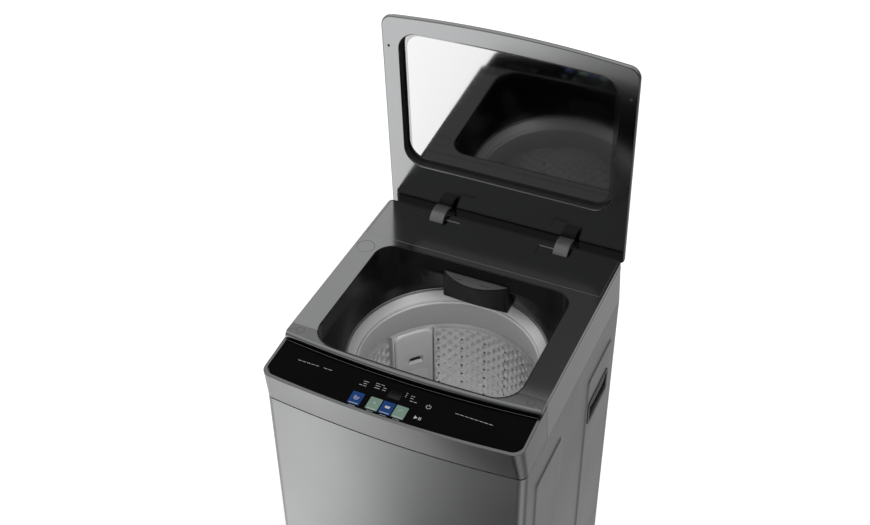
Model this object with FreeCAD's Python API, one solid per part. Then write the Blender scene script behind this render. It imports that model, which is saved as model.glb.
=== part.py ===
import FreeCAD, Part
import math
import os

# A top-loading washing machine with its lid open, built as separate pieces.
# Millimetres. X to the right seen from the front, +Y to the back, +Z up.
# The origin is on the floor, under the middle of the machine's overall box.

# ---- Driving dimensions -------------------------------------------------------
HALF = 300.0            # half the cabinet's width at the seam under the top cover
SEAM_Z = 868.0          # seam between the steel cabinet and the top cover
DECK_Z = 978.0          # top of the deck around the wash opening
DECK_HALF = 294.0       # half the deck's width: the cover's skirt leans in
REAR_Y = 303.5          # back face of the cabinet and the deck
FRONT_Y = REAR_Y - 610.0    # cabinet front at its corners, before the bow
BOW = 17.0              # how far every front edge bows out at the middle
BOW_R = (HALF**2 + BOW**2) / (2 * BOW)
FRONT_CORNER = 20.0
REAR_CORNER = 10.0
SHEET = 1.2             # steel sheet
SKIN = 2.5              # moulded plastic wall
GAP = 0.3               # between neighbouring pieces that only meet

# Top cover and control fascia
DECK_FRONT_Y = REAR_Y - 513.0   # front edge of the deck at its corners
STRIP_Y = REAR_Y - 486.0        # where the deck ends and the fascia's own strip begins
PANEL_TOP_Y = REAR_Y - 522.0    # back edge of the black panel at its corners
PANEL_TOP_Z = 961.0
PANEL_DEPTH = 97.0
PANEL_SLOPE = 4.0
PANEL_HALF = 288.5
NOSE_Y = REAR_Y - 627.0         # front of the fascia at its corners, at the panel's level
NOSE_Z = 953.0
GLASS = 3.0

# Wash opening and the basin under it
OPEN_HALF = 234.5
OPEN_REAR = REAR_Y - 159.0
OPEN_FRONT = REAR_Y - 513.0     # at the ends of the bowed front edge
OPEN_REAR_R = 45.0
OPEN_FRONT_R = 58.0
BASIN_BEND_Z = DECK_Z - 45.0
BASIN_LIP_Z = 849.0
BASIN_LIP_R = 230.0

# Wash unit
DRUM_Y = REAR_Y - 320.0
RING_TOP = 845.0
RING_BOTTOM = 744.0
RING_R = 231.0
BASKET_R = 221.5
BASKET_FLOOR = 396.0
TUB_R = 250.0
TUB_WALL = 3.5
TUB_FLOOR = 352.0
TUB_TOP = 800.0
ROD_X = 255.0
ROD_DY = 238.0
SHAFT_R = 7.0
SPIN_R = 14.0

# Lid, drawn closed and then turned open about its hinge axis
HINGE_Y = REAR_Y - 5.0
HINGE_Z = DECK_Z - 20.0
LID_OPEN = 87.0
LID_HALF = 295.0
LID_UNDER = DECK_Z + 1.5
LID_TOP = 1000.0
LID_FRONT_Y = HINGE_Y - 526.0
WINDOW_HALF = 253.0
WINDOW_REAR = HINGE_Y - 133.0
WINDOW_FRONT = HINGE_Y - 489.0
ARM_X = 156.0
ARM_W = 35.0
ARM_R = 38.0
PIN_R = 4.0

BASE_Z = 18.0
FOOT_X = 262.0
FOOT_Y = 262.0

# Cabinet sides and back
SWAGE_Z = (168.0, 788.0)    # pressed fields in the side panels
SWAGES = [(REAR_Y - 551.0, REAR_Y - 383.0), (REAR_Y - 218.0, REAR_Y - 42.0)]
SWAGE_RISE = 3.0
SWAGE_BEVEL = 9.0
POCKET_Y = (REAR_Y - 198.0, REAR_Y - 67.0)    # carry handle opening
POCKET_Z = (636.0, 700.0)
DRAIN_Z = 110.0
CORD_X = 220.0
CORD_Z = 800.0

# Rear deck cover, plugs and water inlet
COVER_Y = REAR_Y - 140.0    # front edge of the rear deck cover
COVER_HALF = DECK_HALF - 5.0
CAP_X = -266.0    # round plug on the deck
CAP_Y = REAR_Y - 187.0
SCREW_CAP_X = 266.0    # caps over the two front screws
SCREW_CAP_Y = REAR_Y - 501.0
VALVE_Y = REAR_Y - 44.0    # inlet valve
VALVE_Z = 900.0
INLET_X = -200.0
SPOUT_X = -50.0    # where the duct meets the drawer housing
THREAD_R = 13.2         # G3/4 hose thread

# Touch keys and the housing under them
KEY_W = 27.0
KEY_D = 33.0
KEY_Y = PANEL_TOP_Y - 92.0
KEY_X = {"blue": (-75.0, -4.5), "green": (-34.0, 25.0)}
INLAY = 0.8    # depth of the keys in the glass
DISPLAY_Y = PANEL_TOP_Y - 54.5
HOUSING_Y = (PANEL_TOP_Y - 82.0, PANEL_TOP_Y - 21.0)

# Detergent drawer
DRAWER_HALF = 81.0
DRAWER_Z = (872.0, 948.0)
DRAWER_BULGE = 34.0    # bow of the drawer front at its top
DRAWER_LOW_BULGE = 5.0    # and at its bottom: the front leans back
DRAWER_BACK = REAR_Y - 70.0

# Lid details
SHELL_LOW = LID_UNDER + 7.0    # lower edge of the lid outer shell
GLASS_Z = LID_TOP - 5.0    # seat of the lid glass
BUMPER_X = 279.0    # rubber stops
BUMPER_Y = HINGE_Y - 452.0

# Suspension and gear case
LUG_Z = 470.0    # suspension lugs on the tub
ROD_R = 4.0
SPRING_Z = (352.0, 446.0)    # springs at rest
CASE_Z = (262.0, 344.0)    # gear case
BEARING_R = 26.0    # main bearing seat

# Lint filter
FILTER_ANGLE = 137.5    # direction of the filter from the drum axis
FILTER_W = 104.0
FILTER_Z = (470.0, 740.0)


# ---- Helpers ------------------------------------------------------------------
def vec(x, y, z):
    return FreeCAD.Vector(x, y, z)


def box(x0, x1, y0, y1, z0, z1):
    return Part.makeBox(x1 - x0, y1 - y0, z1 - z0, vec(x0, y0, z0))


def cyl(r, x, y, z0, z1):
    return Part.makeCylinder(r, z1 - z0, vec(x, y, z0))


def tube(r_in, r_out, x, y, z0, z1):
    return cyl(r_out, x, y, z0, z1).cut(cyl(r_in, x, y, z0 - 1, z1 + 1))


def rod_x(r, x0, x1, y, z):
    return Part.makeCylinder(r, x1 - x0, vec(x0, y, z), vec(1, 0, 0))


def rod_y(r, x, y0, y1, z):
    return Part.makeCylinder(r, y1 - y0, vec(x, y0, z), vec(0, 1, 0))


def fuse(shapes):
    first, rest = shapes[0], shapes[1:]
    return first.multiFuse(rest).removeSplitter() if rest else first


def cut(shape, tools):
    for tool in tools:
        shape = shape.cut(tool)
    return shape


def mirror_x(shape):
    return shape.mirror(vec(0, 0, 0), vec(1, 0, 0))


def both_sides(shape):
    return [shape, mirror_x(shape)]


def revolve(points, x=0.0, y=DRUM_Y):
    """Turns a closed outline of (radius, height) points about a vertical axis."""
    loop = [vec(x + r, y, z) for r, z in points]
    face = Part.Face(Part.makePolygon(loop + loop[:1]))
    return face.revolve(vec(x, y, 0), vec(0, 0, 1), 360)


def front_y(x, y_corner, bow=BOW):
    """Where a bowed front edge stands at x, when it stands at y_corner at x = HALF."""
    return y_corner - bow * (1 - (x / HALF) ** 2)


def plan_wire(half, y_front, y_rear, r_front, r_rear, z, bow=BOW):
    """Outline seen from above: straight sides and back, bowed front, round corners."""
    edge = front_y(half - r_front, y_front, bow)
    mid = front_y(0, y_front, bow)
    k = math.sqrt(0.5)
    right = half - r_front
    back = half - r_rear
    fr = edge + r_front
    bk = y_rear - r_rear
    p = [
        vec(-back, y_rear, z), vec(back, y_rear, z), vec(half, bk, z), vec(half, fr, z),
        vec(right, edge, z), vec(-right, edge, z), vec(-half, fr, z), vec(-half, bk, z),
    ]
    line = Part.LineSegment
    arc = Part.Arc
    edges = [
        line(p[0], p[1]),
        arc(p[1], vec(back + k * r_rear, bk + k * r_rear, z), p[2]),
        line(p[2], p[3]),
        arc(p[3], vec(right + k * r_front, fr - k * r_front, z), p[4]),
        arc(p[4], vec(0, mid, z), p[5]) if bow else line(p[4], p[5]),
        arc(p[5], vec(-right - k * r_front, fr - k * r_front, z), p[6]),
        line(p[6], p[7]),
        arc(p[7], vec(-back - k * r_rear, bk + k * r_rear, z), p[0]),
    ]
    return Part.Wire([e.toShape() for e in edges])


def round_wire(r, z, outline):
    """A circle about the drum's axis, divided where the rays to the outline's corners cross it."""
    corners = [v.Point for v in outline.OrderedVertexes]
    angles = [math.atan2(p.y - DRUM_Y, p.x) for p in corners]

    def at(a):
        return vec(r * math.cos(a), DRUM_Y + r * math.sin(a), z)

    edges = []
    for a, b in zip(angles, angles[1:] + angles[:1]):
        while b > a:
            b -= 2 * math.pi
        edges.append(Part.Arc(at(a), at((a + b) / 2), at(b)).toShape())
    return Part.Wire(edges)


def prism(wire, height):
    return Part.Face(wire).extrude(vec(0, 0, height))


def loft(low, high):
    return Part.makeLoft([low, high], True, True)


def opening_wire(grow, z):
    """The wash opening's outline, pushed out by grow."""
    return plan_wire(
        OPEN_HALF + grow, OPEN_FRONT - grow, OPEN_REAR + grow,
        OPEN_FRONT_R + grow, OPEN_REAR_R + grow, z, BOW * (OPEN_HALF / HALF) ** 2,
    )


def tilted(shape):
    """Leans a piece drawn level at PANEL_TOP_Z down towards the front, like the panel."""
    out = shape.copy()
    out.rotate(vec(0, PANEL_TOP_Y, PANEL_TOP_Z), vec(1, 0, 0), PANEL_SLOPE)
    return out


def opened(shape):
    """Turns a lid piece, drawn closed, to the rest pose with the lid open."""
    out = shape.copy()
    out.rotate(vec(0, HINGE_Y, HINGE_Z), vec(1, 0, 0), -LID_OPEN)
    return out


def rod_places():
    return [(sx * ROD_X, DRUM_Y + sy * ROD_DY) for sx in (-1, 1) for sy in (-1, 1)]


# ---- Cabinet ------------------------------------------------------------------


def swage(y0, y1, base, top, grow=0.0):
    """A raised field pressed into the side wall, with sloping edges."""
    def ring(x, inset):
        a, b = y0 + inset, y1 - inset
        c, d = SWAGE_Z[0] + inset, SWAGE_Z[1] - inset
        p = [vec(x, a, c), vec(x, b, c), vec(x, b, d), vec(x, a, d)]
        return Part.makePolygon(p + p[:1])
    return loft(ring(base, -grow), ring(top, SWAGE_BEVEL - grow))


def cabinet_shell():
    outer = prism(plan_wire(HALF, FRONT_Y, REAR_Y, FRONT_CORNER, REAR_CORNER, 30), SEAM_Z - 30)
    inner = prism(
        plan_wire(
            HALF - SHEET, FRONT_Y + SHEET, REAR_Y - SHEET,
            FRONT_CORNER - SHEET, REAR_CORNER - SHEET, 20,
        ),
        SEAM_Z,
    )
    shell = outer.cut(inner)
    for y0, y1 in SWAGES:
        pad = swage(y0, y1, HALF - SHEET, HALF + SWAGE_RISE)
        hollow = swage(y0, y1, HALF - SHEET - 1, HALF + SWAGE_RISE - SHEET, -SHEET)
        for p, h in zip(both_sides(pad), both_sides(hollow)):
            shell = shell.fuse(p).cut(h)
    back = box(-272, 272, REAR_Y - 5, REAR_Y + 5, 0, SEAM_Z + 5)
    pocket = box(HALF - 10, HALF + 10, *POCKET_Y, *POCKET_Z)
    return cut(shell, [back] + both_sides(pocket))


def rear_panel():
    plate = box(-284, 284, REAR_Y + 0.1, REAR_Y + 0.1 + SHEET, 50, 860)
    holes = [
        rod_y(17.2, INLET_X, REAR_Y - 5, REAR_Y + 5, DRAIN_Z),
        rod_y(9.2, CORD_X, REAR_Y - 5, REAR_Y + 5, CORD_Z),
    ]
    for x in (-278, 278):
        for z in (80, 320, 580, 840):
            holes.append(rod_y(2.3, x, REAR_Y - 5, REAR_Y + 5, z))
    return cut(plate, holes)


def panel_screws():
    screws = []
    for x in (-278, 278):
        for z in (80, 320, 580, 840):
            head = rod_y(4.5, x, REAR_Y + 0.1 + SHEET, REAR_Y + 3.6, z)
            screws.append(head.fuse(rod_y(2.0, x, REAR_Y + 0.2, REAR_Y + 2, z)))
    return Part.makeCompound(screws)


def base_frame():
    w, wall = HALF - SHEET - 0.4, 4.0
    outer = prism(plan_wire(w, FRONT_Y + 1.6, REAR_Y - 1.6, 18.4, 8.4, BASE_Z), 52)
    inner = prism(plan_wire(w - wall, FRONT_Y + 5.6, REAR_Y - 5.6, 14.4, 4.4, BASE_Z - 1), 60)
    ring = outer.cut(inner)
    bosses = [cyl(33, sx * FOOT_X, sy * FOOT_Y, BASE_Z, BASE_Z + 34) for sx in (-1, 1) for sy in (-1, 1)]
    frame = fuse([ring] + [b.common(outer) for b in bosses])
    return frame.cut(cyl(5.05, FOOT_X, -FOOT_Y, 0, 100))


def fixed_feet():
    feet = []
    for x, y in ((-FOOT_X, -FOOT_Y), (-FOOT_X, FOOT_Y), (FOOT_X, FOOT_Y)):
        feet.append(Part.makeCone(24, 21, BASE_Z, vec(x, y, 0)))
    return Part.makeCompound(feet)


def adjustable_foot():
    pad = Part.makeCone(24, 21, 10, vec(FOOT_X, -FOOT_Y, 0))
    nut = cyl(9, FOOT_X, -FOOT_Y, 10, BASE_Z - GAP)
    return fuse([pad, nut, cyl(5, FOOT_X, -FOOT_Y, BASE_Z - GAP, BASE_Z + 45)])


def carry_handle():
    y0, y1 = POCKET_Y
    z0, z1 = POCKET_Z
    cup = box(HALF - 34, HALF + 0.2, y0 + 0.5, y1 - 0.5, z0 + 0.5, z1 - 0.5)
    hollow = box(HALF - 31.5, HALF + 20, y0 + 3, y1 - 3, z0 + 3, z1 - 3)
    flange = box(HALF + 0.2 + SWAGE_RISE, HALF + SWAGE_RISE + 2.2, y0 - 5, y1 + 5, z0 - 5, z1 + 5)
    neck = box(HALF - 1, HALF + SWAGE_RISE + 1, y0 + 0.5, y1 - 0.5, z0 + 0.5, z1 - 0.5)
    grip = rod_y(11, HALF - 6, y0 + 1, y1 - 1, z1 - 12)
    return fuse([fuse([cup, neck, flange]).cut(hollow), grip])


# ---- Top cover and control fascia ----------------------------------------------
def cover_body(inset):
    """The closed outer form of the whole top, shrunk by inset on every wall."""
    low_z = SEAM_Z - (5 if inset else 0)
    low = plan_wire(
        HALF - inset, FRONT_Y + inset, REAR_Y - inset,
        FRONT_CORNER - inset, REAR_CORNER - inset, low_z,
    )
    share = (NOSE_Z - SEAM_Z) / (DECK_Z - SEAM_Z)
    nose_half = HALF - (HALF - DECK_HALF) * share
    nose = plan_wire(
        nose_half - inset, NOSE_Y + inset, REAR_Y - inset,
        FRONT_CORNER + 5 - inset, REAR_CORNER - inset, NOSE_Z - inset,
    )
    top_nose = plan_wire(
        nose_half - inset, NOSE_Y + inset, REAR_Y - inset,
        FRONT_CORNER + 5 - inset, REAR_CORNER - inset, NOSE_Z - inset + 12,
    )
    fascia = loft(low, nose).fuse(loft(nose, top_nose))
    above = tilted(box(-400, 400, -500, 400, PANEL_TOP_Z - inset, PANEL_TOP_Z + 60))
    fascia = fascia.cut(above)
    deck_low = plan_wire(
        nose_half - inset, DECK_FRONT_Y + inset, REAR_Y - inset, 2.6, REAR_CORNER - inset, NOSE_Z - inset
    )
    deck_high = plan_wire(
        DECK_HALF - inset, DECK_FRONT_Y + inset, REAR_Y - inset, 2.6, REAR_CORNER - inset, DECK_Z - inset
    )
    return fuse([fascia, loft(deck_low, deck_high)])


def cover_shell():
    opening = prism(opening_wire(SKIN + 0.2, 700), 400)
    return cover_body(0).cut(cover_body(SKIN)).cut(opening)


def hinge_notches():
    width = ARM_W / 2 + 5.5
    slot = box(ARM_X - width, ARM_X + width, REAR_Y - 10, REAR_Y + 10, HINGE_Z - 45, DECK_Z + 5)
    return both_sides(slot)


def top_cover(shell):
    body = shell.common(box(-400, 400, STRIP_Y, 400, 800, 1000))
    recess = box(-COVER_HALF, COVER_HALF, COVER_Y, REAR_Y - 3, DECK_Z - SKIN - 1, DECK_Z + 5)
    ledge = box(-COVER_HALF - 2, COVER_HALF + 2, COVER_Y - 8, REAR_Y - SKIN, DECK_Z - 6, DECK_Z - 3.5)
    window = box(-COVER_HALF + 10, COVER_HALF - 10, COVER_Y + 8, REAR_Y - 12, DECK_Z - 10, DECK_Z)
    frame = ledge.cut(window).cut(prism(opening_wire(SKIN + 0.2, 700), 400))
    lip = box(-COVER_HALF - 2, COVER_HALF + 2, COVER_Y - 8, COVER_Y, DECK_Z - 4, DECK_Z - SKIN + 0.5)
    lip = lip.cut(prism(opening_wire(SKIN + 0.2, 700), 400))
    body = fuse([body.cut(recess), frame, lip])
    holes = [cyl(21.2, CAP_X, CAP_Y, 940, 1000)]
    holes += [rod_y(14.0, INLET_X, REAR_Y - 6, REAR_Y + 6, VALVE_Z)]
    return cut(body, hinge_notches() + holes)


def rear_deck_cover():
    plate = box(
        -COVER_HALF + GAP, COVER_HALF - GAP, COVER_Y + GAP, REAR_Y - 3 - GAP, DECK_Z - 3.5, DECK_Z
    )
    w = ARM_W / 2 + 1.0
    slots = []
    for side in (-1, 1):
        x = side * ARM_X
        slots.append(box(x - w, x + w, REAR_Y - 39.8, REAR_Y + 5, 900, 1000))
        inner = x - side * (w + 18)
        slots.append(box(inner - 18.5, inner + 18.5, REAR_Y - 50, REAR_Y - 21, DECK_Z - 1.8, 1000))
    return cut(plate, slots)


def deck_plug():
    return cyl(21.0, CAP_X, CAP_Y, DECK_Z - SKIN, DECK_Z)


def screw_caps():
    return Part.makeCompound(
        [cyl(8.8, s * SCREW_CAP_X, SCREW_CAP_Y, DECK_Z - SKIN, DECK_Z) for s in (-1, 1)]
    )


def panel_outline(grow, z):
    """Outline of the black panel, drawn level."""
    half = PANEL_HALF + grow
    top = PANEL_TOP_Y + grow
    low = PANEL_TOP_Y - PANEL_DEPTH - grow
    r = 24.0
    edge = front_y(half - r, low)
    k = math.sqrt(0.5)
    p = [
        vec(-half, front_y(half, top), z), vec(half, front_y(half, top), z),
        vec(half, edge + r, z), vec(half - r, edge, z),
        vec(-half + r, edge, z), vec(-half, edge + r, z),
    ]
    edges = [
        Part.Arc(p[0], vec(0, front_y(0, top), z), p[1]),
        Part.LineSegment(p[1], p[2]),
        Part.Arc(p[2], vec(half - r + k * r, edge + r - k * r, z), p[3]),
        Part.Arc(p[3], vec(0, front_y(0, low), z), p[4]),
        Part.Arc(p[4], vec(-half + r - k * r, edge + r - k * r, z), p[5]),
        Part.LineSegment(p[5], p[0]),
    ]
    return Part.Wire([e.toShape() for e in edges])


def control_bezel(shell):
    body = shell.common(box(-400, 400, -400, STRIP_Y - GAP, 800, 1000))
    floor = tilted(prism(panel_outline(6, PANEL_TOP_Z - GLASS - SKIN), SKIN + 1))
    pocket = tilted(prism(panel_outline(0.2, PANEL_TOP_Z - GLASS), 30))
    room = tilted(box(-130, 130, HOUSING_Y[0] - 3, HOUSING_Y[1] + 3, PANEL_TOP_Z - 20, PANEL_TOP_Z))
    body = body.fuse(floor.common(cover_body(0)))
    holes = [cyl(8.95, s * SCREW_CAP_X, SCREW_CAP_Y, 940, 1000) for s in (-1, 1)]
    opening = prism(opening_wire(SKIN + 0.2, 700), 400)
    return cut(body, [pocket, room, opening] + holes)


def key_block(x, grow):
    w, d = KEY_W / 2 + grow, KEY_D / 2 + grow
    return box(x - w, x + w, KEY_Y - d, KEY_Y + d, PANEL_TOP_Z - INLAY - grow, PANEL_TOP_Z)


def touch_keys(colour):
    return Part.makeCompound([tilted(key_block(x, 0)) for x in KEY_X[colour]])


def display_block(grow):
    return box(
        -18 - grow, 10 + grow, DISPLAY_Y - 10.5 - grow, DISPLAY_Y + 10.5 + grow,
        PANEL_TOP_Z - INLAY - grow, PANEL_TOP_Z,
    )


def control_glass():
    slab = prism(panel_outline(0, PANEL_TOP_Z - GLASS), GLASS)
    for colour in KEY_X:
        for x in KEY_X[colour]:
            slab = slab.cut(key_block(x, 0.05))
    return tilted(slab.cut(display_block(0.05)))


def display_window():
    return tilted(display_block(0))


def control_housing():
    outer = box(-126, 126, *HOUSING_Y, PANEL_TOP_Z - 34, PANEL_TOP_Z - GLASS - GAP)
    inner = box(-124, 124, HOUSING_Y[0] + 2, HOUSING_Y[1] - 2, PANEL_TOP_Z - 32, PANEL_TOP_Z)
    return tilted(outer.cut(inner))


def control_board():
    y0, y1 = HOUSING_Y[0] + 4, HOUSING_Y[1] - 4
    top = PANEL_TOP_Z - 14.4
    board = box(-122, 122, y0, y1, top - 1.6, top)
    chips = [box(x, x + 14, y0 + 13, y0 + 27, top, top + 2.4) for x in (-90, -50, 40)]
    posts = [cyl(3, sx * 116, y, top - 17.6, top - 1.6) for sx in (-1, 1) for y in (y0 + 5, y1 - 5)]
    return tilted(fuse([board] + chips + posts))


# ---- Basin and detergent dispenser ---------------------------------------------


def basin_form(grow):
    top = opening_wire(grow, BASIN_BEND_Z)
    lip = round_wire(BASIN_LIP_R + grow, BASIN_LIP_Z, top)
    upper = prism(top, DECK_Z - 0.5 - BASIN_BEND_Z + (5 if grow == 0 else 0))
    lower = loft(top, lip)
    tail = cyl(BASIN_LIP_R + grow, 0, DRUM_Y, BASIN_LIP_Z - (5 if grow == 0 else 0), BASIN_LIP_Z)
    return upper.fuse(lower).fuse(tail) if grow == 0 else upper.fuse(lower)


def basin():
    shell = basin_form(SKIN).cut(basin_form(0))
    mouth = box(
        -DRAWER_HALF - 1, DRAWER_HALF + 1, OPEN_REAR - 40, OPEN_REAR + 100,
        DRAWER_Z[0] - 1, DRAWER_Z[1] + 1,
    )
    return shell.cut(mouth)


def dispenser_housing():
    z0, z1 = DRAWER_Z
    half = DRAWER_HALF + 4
    outer = box(-half, half, OPEN_REAR + SKIN + 0.3, DRAWER_BACK + 6, z0 - 3.5, z1 + 3.5)
    inner = box(-DRAWER_HALF - 1, DRAWER_HALF + 1, 0, DRAWER_BACK + 3, z0 - 1, z1 + 1)
    body = outer.cut(basin_form(SKIN + 0.3)).cut(inner)
    inlet = rod_y(8, SPOUT_X, DRAWER_BACK, DRAWER_BACK + 16, z1 - 18)
    return fuse([body, inlet]).cut(rod_y(6, SPOUT_X, DRAWER_BACK - 5, DRAWER_BACK + 20, z1 - 18))


def drawer_outline(bulge, z):
    h, front = DRAWER_HALF, OPEN_REAR - 2
    return Part.Wire([
        Part.Arc(vec(-h, front, z), vec(0, front - bulge, z), vec(h, front, z)).toShape(),
        Part.LineSegment(vec(h, front, z), vec(h, DRAWER_BACK, z)).toShape(),
        Part.LineSegment(vec(h, DRAWER_BACK, z), vec(-h, DRAWER_BACK, z)).toShape(),
        Part.LineSegment(vec(-h, DRAWER_BACK, z), vec(-h, front, z)).toShape(),
    ])


def dispenser_drawer():
    z0, z1 = DRAWER_Z
    h, front = DRAWER_HALF, OPEN_REAR - 2
    body = loft(drawer_outline(DRAWER_LOW_BULGE, z0), drawer_outline(DRAWER_BULGE, z1))
    trays = [
        box(-h + 2.5, -2, front + 6, DRAWER_BACK - 2.5, z0 + 20, z1 + 5),
        box(2, h - 2.5, front + 6, DRAWER_BACK - 2.5, z0 + 20, z1 + 5),
        box(-h + 2.5, h - 2.5, front + 6, DRAWER_BACK - 2.5, z0 - 5, z0 + 17),
    ]
    return cut(body, trays)


def inlet_valve():
    x = INLET_X
    body = box(x - 22, x + 22, VALVE_Y - 16, VALVE_Y + 17, VALVE_Z - 18, VALVE_Z + 18)
    coil = cyl(16, x, VALVE_Y, VALVE_Z + 18, VALVE_Z + 44)
    neck = rod_y(12, x, VALVE_Y + 17, REAR_Y + 2, VALVE_Z)
    thread = rod_y(THREAD_R, x, REAR_Y + 2, REAR_Y + 22, VALVE_Z)
    flange = rod_y(20, x, REAR_Y - SKIN - 6, REAR_Y - SKIN - 0.4, VALVE_Z)
    outlet = rod_x(8, x + 22, x + 50, VALVE_Y, VALVE_Z)
    bore = rod_y(8.5, x, REAR_Y - 5, REAR_Y + 30, VALVE_Z)
    return fuse([body, coil, neck, thread, flange, outlet]).cut(bore)


def inlet_duct():
    z = DRAWER_Z[1] - 18
    arm = rod_x(8, INLET_X + 50.2, SPOUT_X, VALVE_Y, VALVE_Z)
    riser = cyl(8, SPOUT_X, VALVE_Y, VALVE_Z, z)
    spout = rod_y(8, SPOUT_X, DRAWER_BACK + 16.2, VALVE_Y, z)
    return fuse([arm, riser, spout])


# ---- Hinges and lid ------------------------------------------------------------
def hinge_housing():
    x0, x1 = ARM_X - ARM_W / 2 - 0.5, ARM_X + ARM_W / 2 + 0.5
    y0, y1 = HINGE_Y - ARM_R - 0.6, HINGE_Y + 9
    z0 = HINGE_Z - ARM_R - 0.6
    outer = box(x0 - 2.5, x1 + 2.5, y0 - 2.5, y1 + 2.5, z0 - 2.5, DECK_Z - 6.3)
    hollow = box(x0, x1, y0, y1, z0, DECK_Z + 5)
    cheeks = [rod_x(8, x0 - 5, x0 - 2.5, HINGE_Y, HINGE_Z), rod_x(8, x1 + 2.5, x1 + 5, HINGE_Y, HINGE_Z)]
    cheeks = [c.cut(box(0, 400, REAR_Y - SKIN - 0.2, 400, 900, 1000)) for c in cheeks]
    pin_bore = rod_x(PIN_R + 0.02, x0 - 10, x1 + 10, HINGE_Y, HINGE_Z)
    return fuse([outer.cut(hollow)] + cheeks).cut(pin_bore)


def hinge_pins():
    pin = rod_x(PIN_R, ARM_X - ARM_W / 2 - 4, ARM_X + ARM_W / 2 + 4, HINGE_Y, HINGE_Z)
    return Part.makeCompound(both_sides(pin))


def ring_sector(r_in, r_out, start, end, x0, x1):
    """Part of a ring about the hinge axis; angles from +Y towards +Z."""
    ring = rod_x(r_out, x0, x1, HINGE_Y, HINGE_Z).cut(rod_x(r_in, x0 - 1, x1 + 1, HINGE_Y, HINGE_Z))
    far = 3 * r_out
    steps = 6
    fan = [vec(x0, HINGE_Y, HINGE_Z)]
    for i in range(steps + 1):
        a = math.radians(start + (end - start) * i / steps)
        fan.append(vec(x0, HINGE_Y + far * math.cos(a), HINGE_Z + far * math.sin(a)))
    wedge = Part.Face(Part.makePolygon(fan + fan[:1])).extrude(vec(x1 - x0, 0, 0))
    return ring.common(wedge)


def lid_arm():
    x0, x1 = ARM_X - ARM_W / 2, ARM_X + ARM_W / 2
    band = ring_sector(ARM_R - 6, ARM_R, 50, 194, x0, x1)
    spoke = ring_sector(5, ARM_R - 5, 158, 192, x0, x1)
    hub = rod_x(8, x0, x1, HINGE_Y, HINGE_Z)
    beyond = opened(box(0, 400, -400, 400, LID_UNDER - 0.1, 1200))
    pad = opened(box(x0, x1, HINGE_Y - 50, HINGE_Y - 25, LID_UNDER - 1.1, LID_UNDER - 0.1))
    arm = fuse([band.cut(beyond), spoke, hub, pad])
    return arm.cut(rod_x(PIN_R + 0.05, x0 - 5, x1 + 5, HINGE_Y, HINGE_Z))


def lid_form(inset, z0, z1):
    low = plan_wire(
        LID_HALF - inset, LID_FRONT_Y + inset, REAR_Y - inset, 28 - inset, 12 - inset / 2, z0
    )
    return prism(low, z1 - z0)


def lid_outline(grow, z0, z1):
    wire = plan_wire(
        WINDOW_HALF + grow, WINDOW_FRONT - grow, WINDOW_REAR + grow,
        46 + grow, 46 + grow, z0, BOW * 0.5,
    )
    return prism(wire, z1 - z0)


def lid_outer_shell():
    rim_low = plan_wire(LID_HALF, LID_FRONT_Y, REAR_Y, 28, 12, SHELL_LOW)
    rim_high = plan_wire(LID_HALF - 4, LID_FRONT_Y + 7, REAR_Y - 4, 26, 9, LID_TOP)
    body = loft(rim_low, rim_high)
    hollow = lid_form(6.0, SHELL_LOW - 1, LID_TOP - 3)
    return opened(cut(body, [hollow, lid_outline(10.2, 900, 1100)]))


def lid_inner_frame():
    plate = lid_form(0.0, LID_UNDER, LID_UNDER + 2.5)
    wall = lid_form(6.3, LID_UNDER, LID_TOP - 3.3).cut(lid_form(8.8, LID_UNDER - 1, LID_TOP))
    step = lid_form(0.0, LID_UNDER, SHELL_LOW - 0.1).cut(lid_form(2.5, LID_UNDER - 1, SHELL_LOW))
    window = lid_outline(12.5, LID_UNDER, GLASS_Z).cut(lid_outline(0, 900, 1100))
    body = fuse([plate.cut(lid_outline(5, 900, 1100)), wall, step, window])
    holes = [cyl(3.1, s * BUMPER_X, BUMPER_Y, 900, LID_UNDER + 5) for s in (-1, 1)]
    return opened(cut(body, holes))


def lid_glass():
    return opened(lid_outline(10, GLASS_Z + 0.1, LID_TOP - 0.6))


def lid_bumpers():
    bumpers = []
    for s in (-1, 1):
        bumpers.append(opened(cyl(3.0, s * BUMPER_X, BUMPER_Y, LID_UNDER - 1.2, LID_UNDER + 3)))
    return Part.makeCompound(bumpers)


# ---- Wash unit -----------------------------------------------------------------


def outer_tub():
    wall = tube(TUB_R, TUB_R + TUB_WALL, 0, DRUM_Y, TUB_FLOOR, TUB_TOP)
    floor = tube(SPIN_R + 16.2, TUB_R + 1, 0, DRUM_Y, TUB_FLOOR, TUB_FLOOR + 5)
    ribs = [tube(TUB_R + 1, TUB_R + 6, 0, DRUM_Y, z, z + 3) for z in (560, 700)]
    lugs = []
    for x, y in rod_places():
        arm = box(0, math.hypot(x, y - DRUM_Y) + 16, -18, 18, LUG_Z, LUG_Z + 14)
        arm.rotate(vec(0, 0, 0), vec(0, 0, 1), math.degrees(math.atan2(y - DRUM_Y, x)))
        arm.translate(vec(0, DRUM_Y, 0))
        lugs.append(arm.cut(cyl(TUB_R + 1, 0, DRUM_Y, 400, 600)).cut(cyl(9, x, y, 400, 600)))
    drain = cyl(15.1, 130, DRUM_Y + 90, 300, 400)
    return fuse([wall, floor] + ribs + lugs).cut(drain)


def tub_cover():
    top = RING_TOP + 1
    return revolve([
        (RING_R + 3, top), (TUB_R + TUB_WALL + 3, top), (TUB_R + TUB_WALL + 3, TUB_TOP - 12),
        (TUB_R + TUB_WALL + 0.3, TUB_TOP - 12), (TUB_R + TUB_WALL + 0.3, TUB_TOP + 0.2),
        (TUB_R, TUB_TOP + 0.2), (TUB_R, top - 3), (RING_R + 6, top - 3),
        (RING_R + 6, top - 14), (RING_R + 3, top - 14),
    ])


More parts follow.
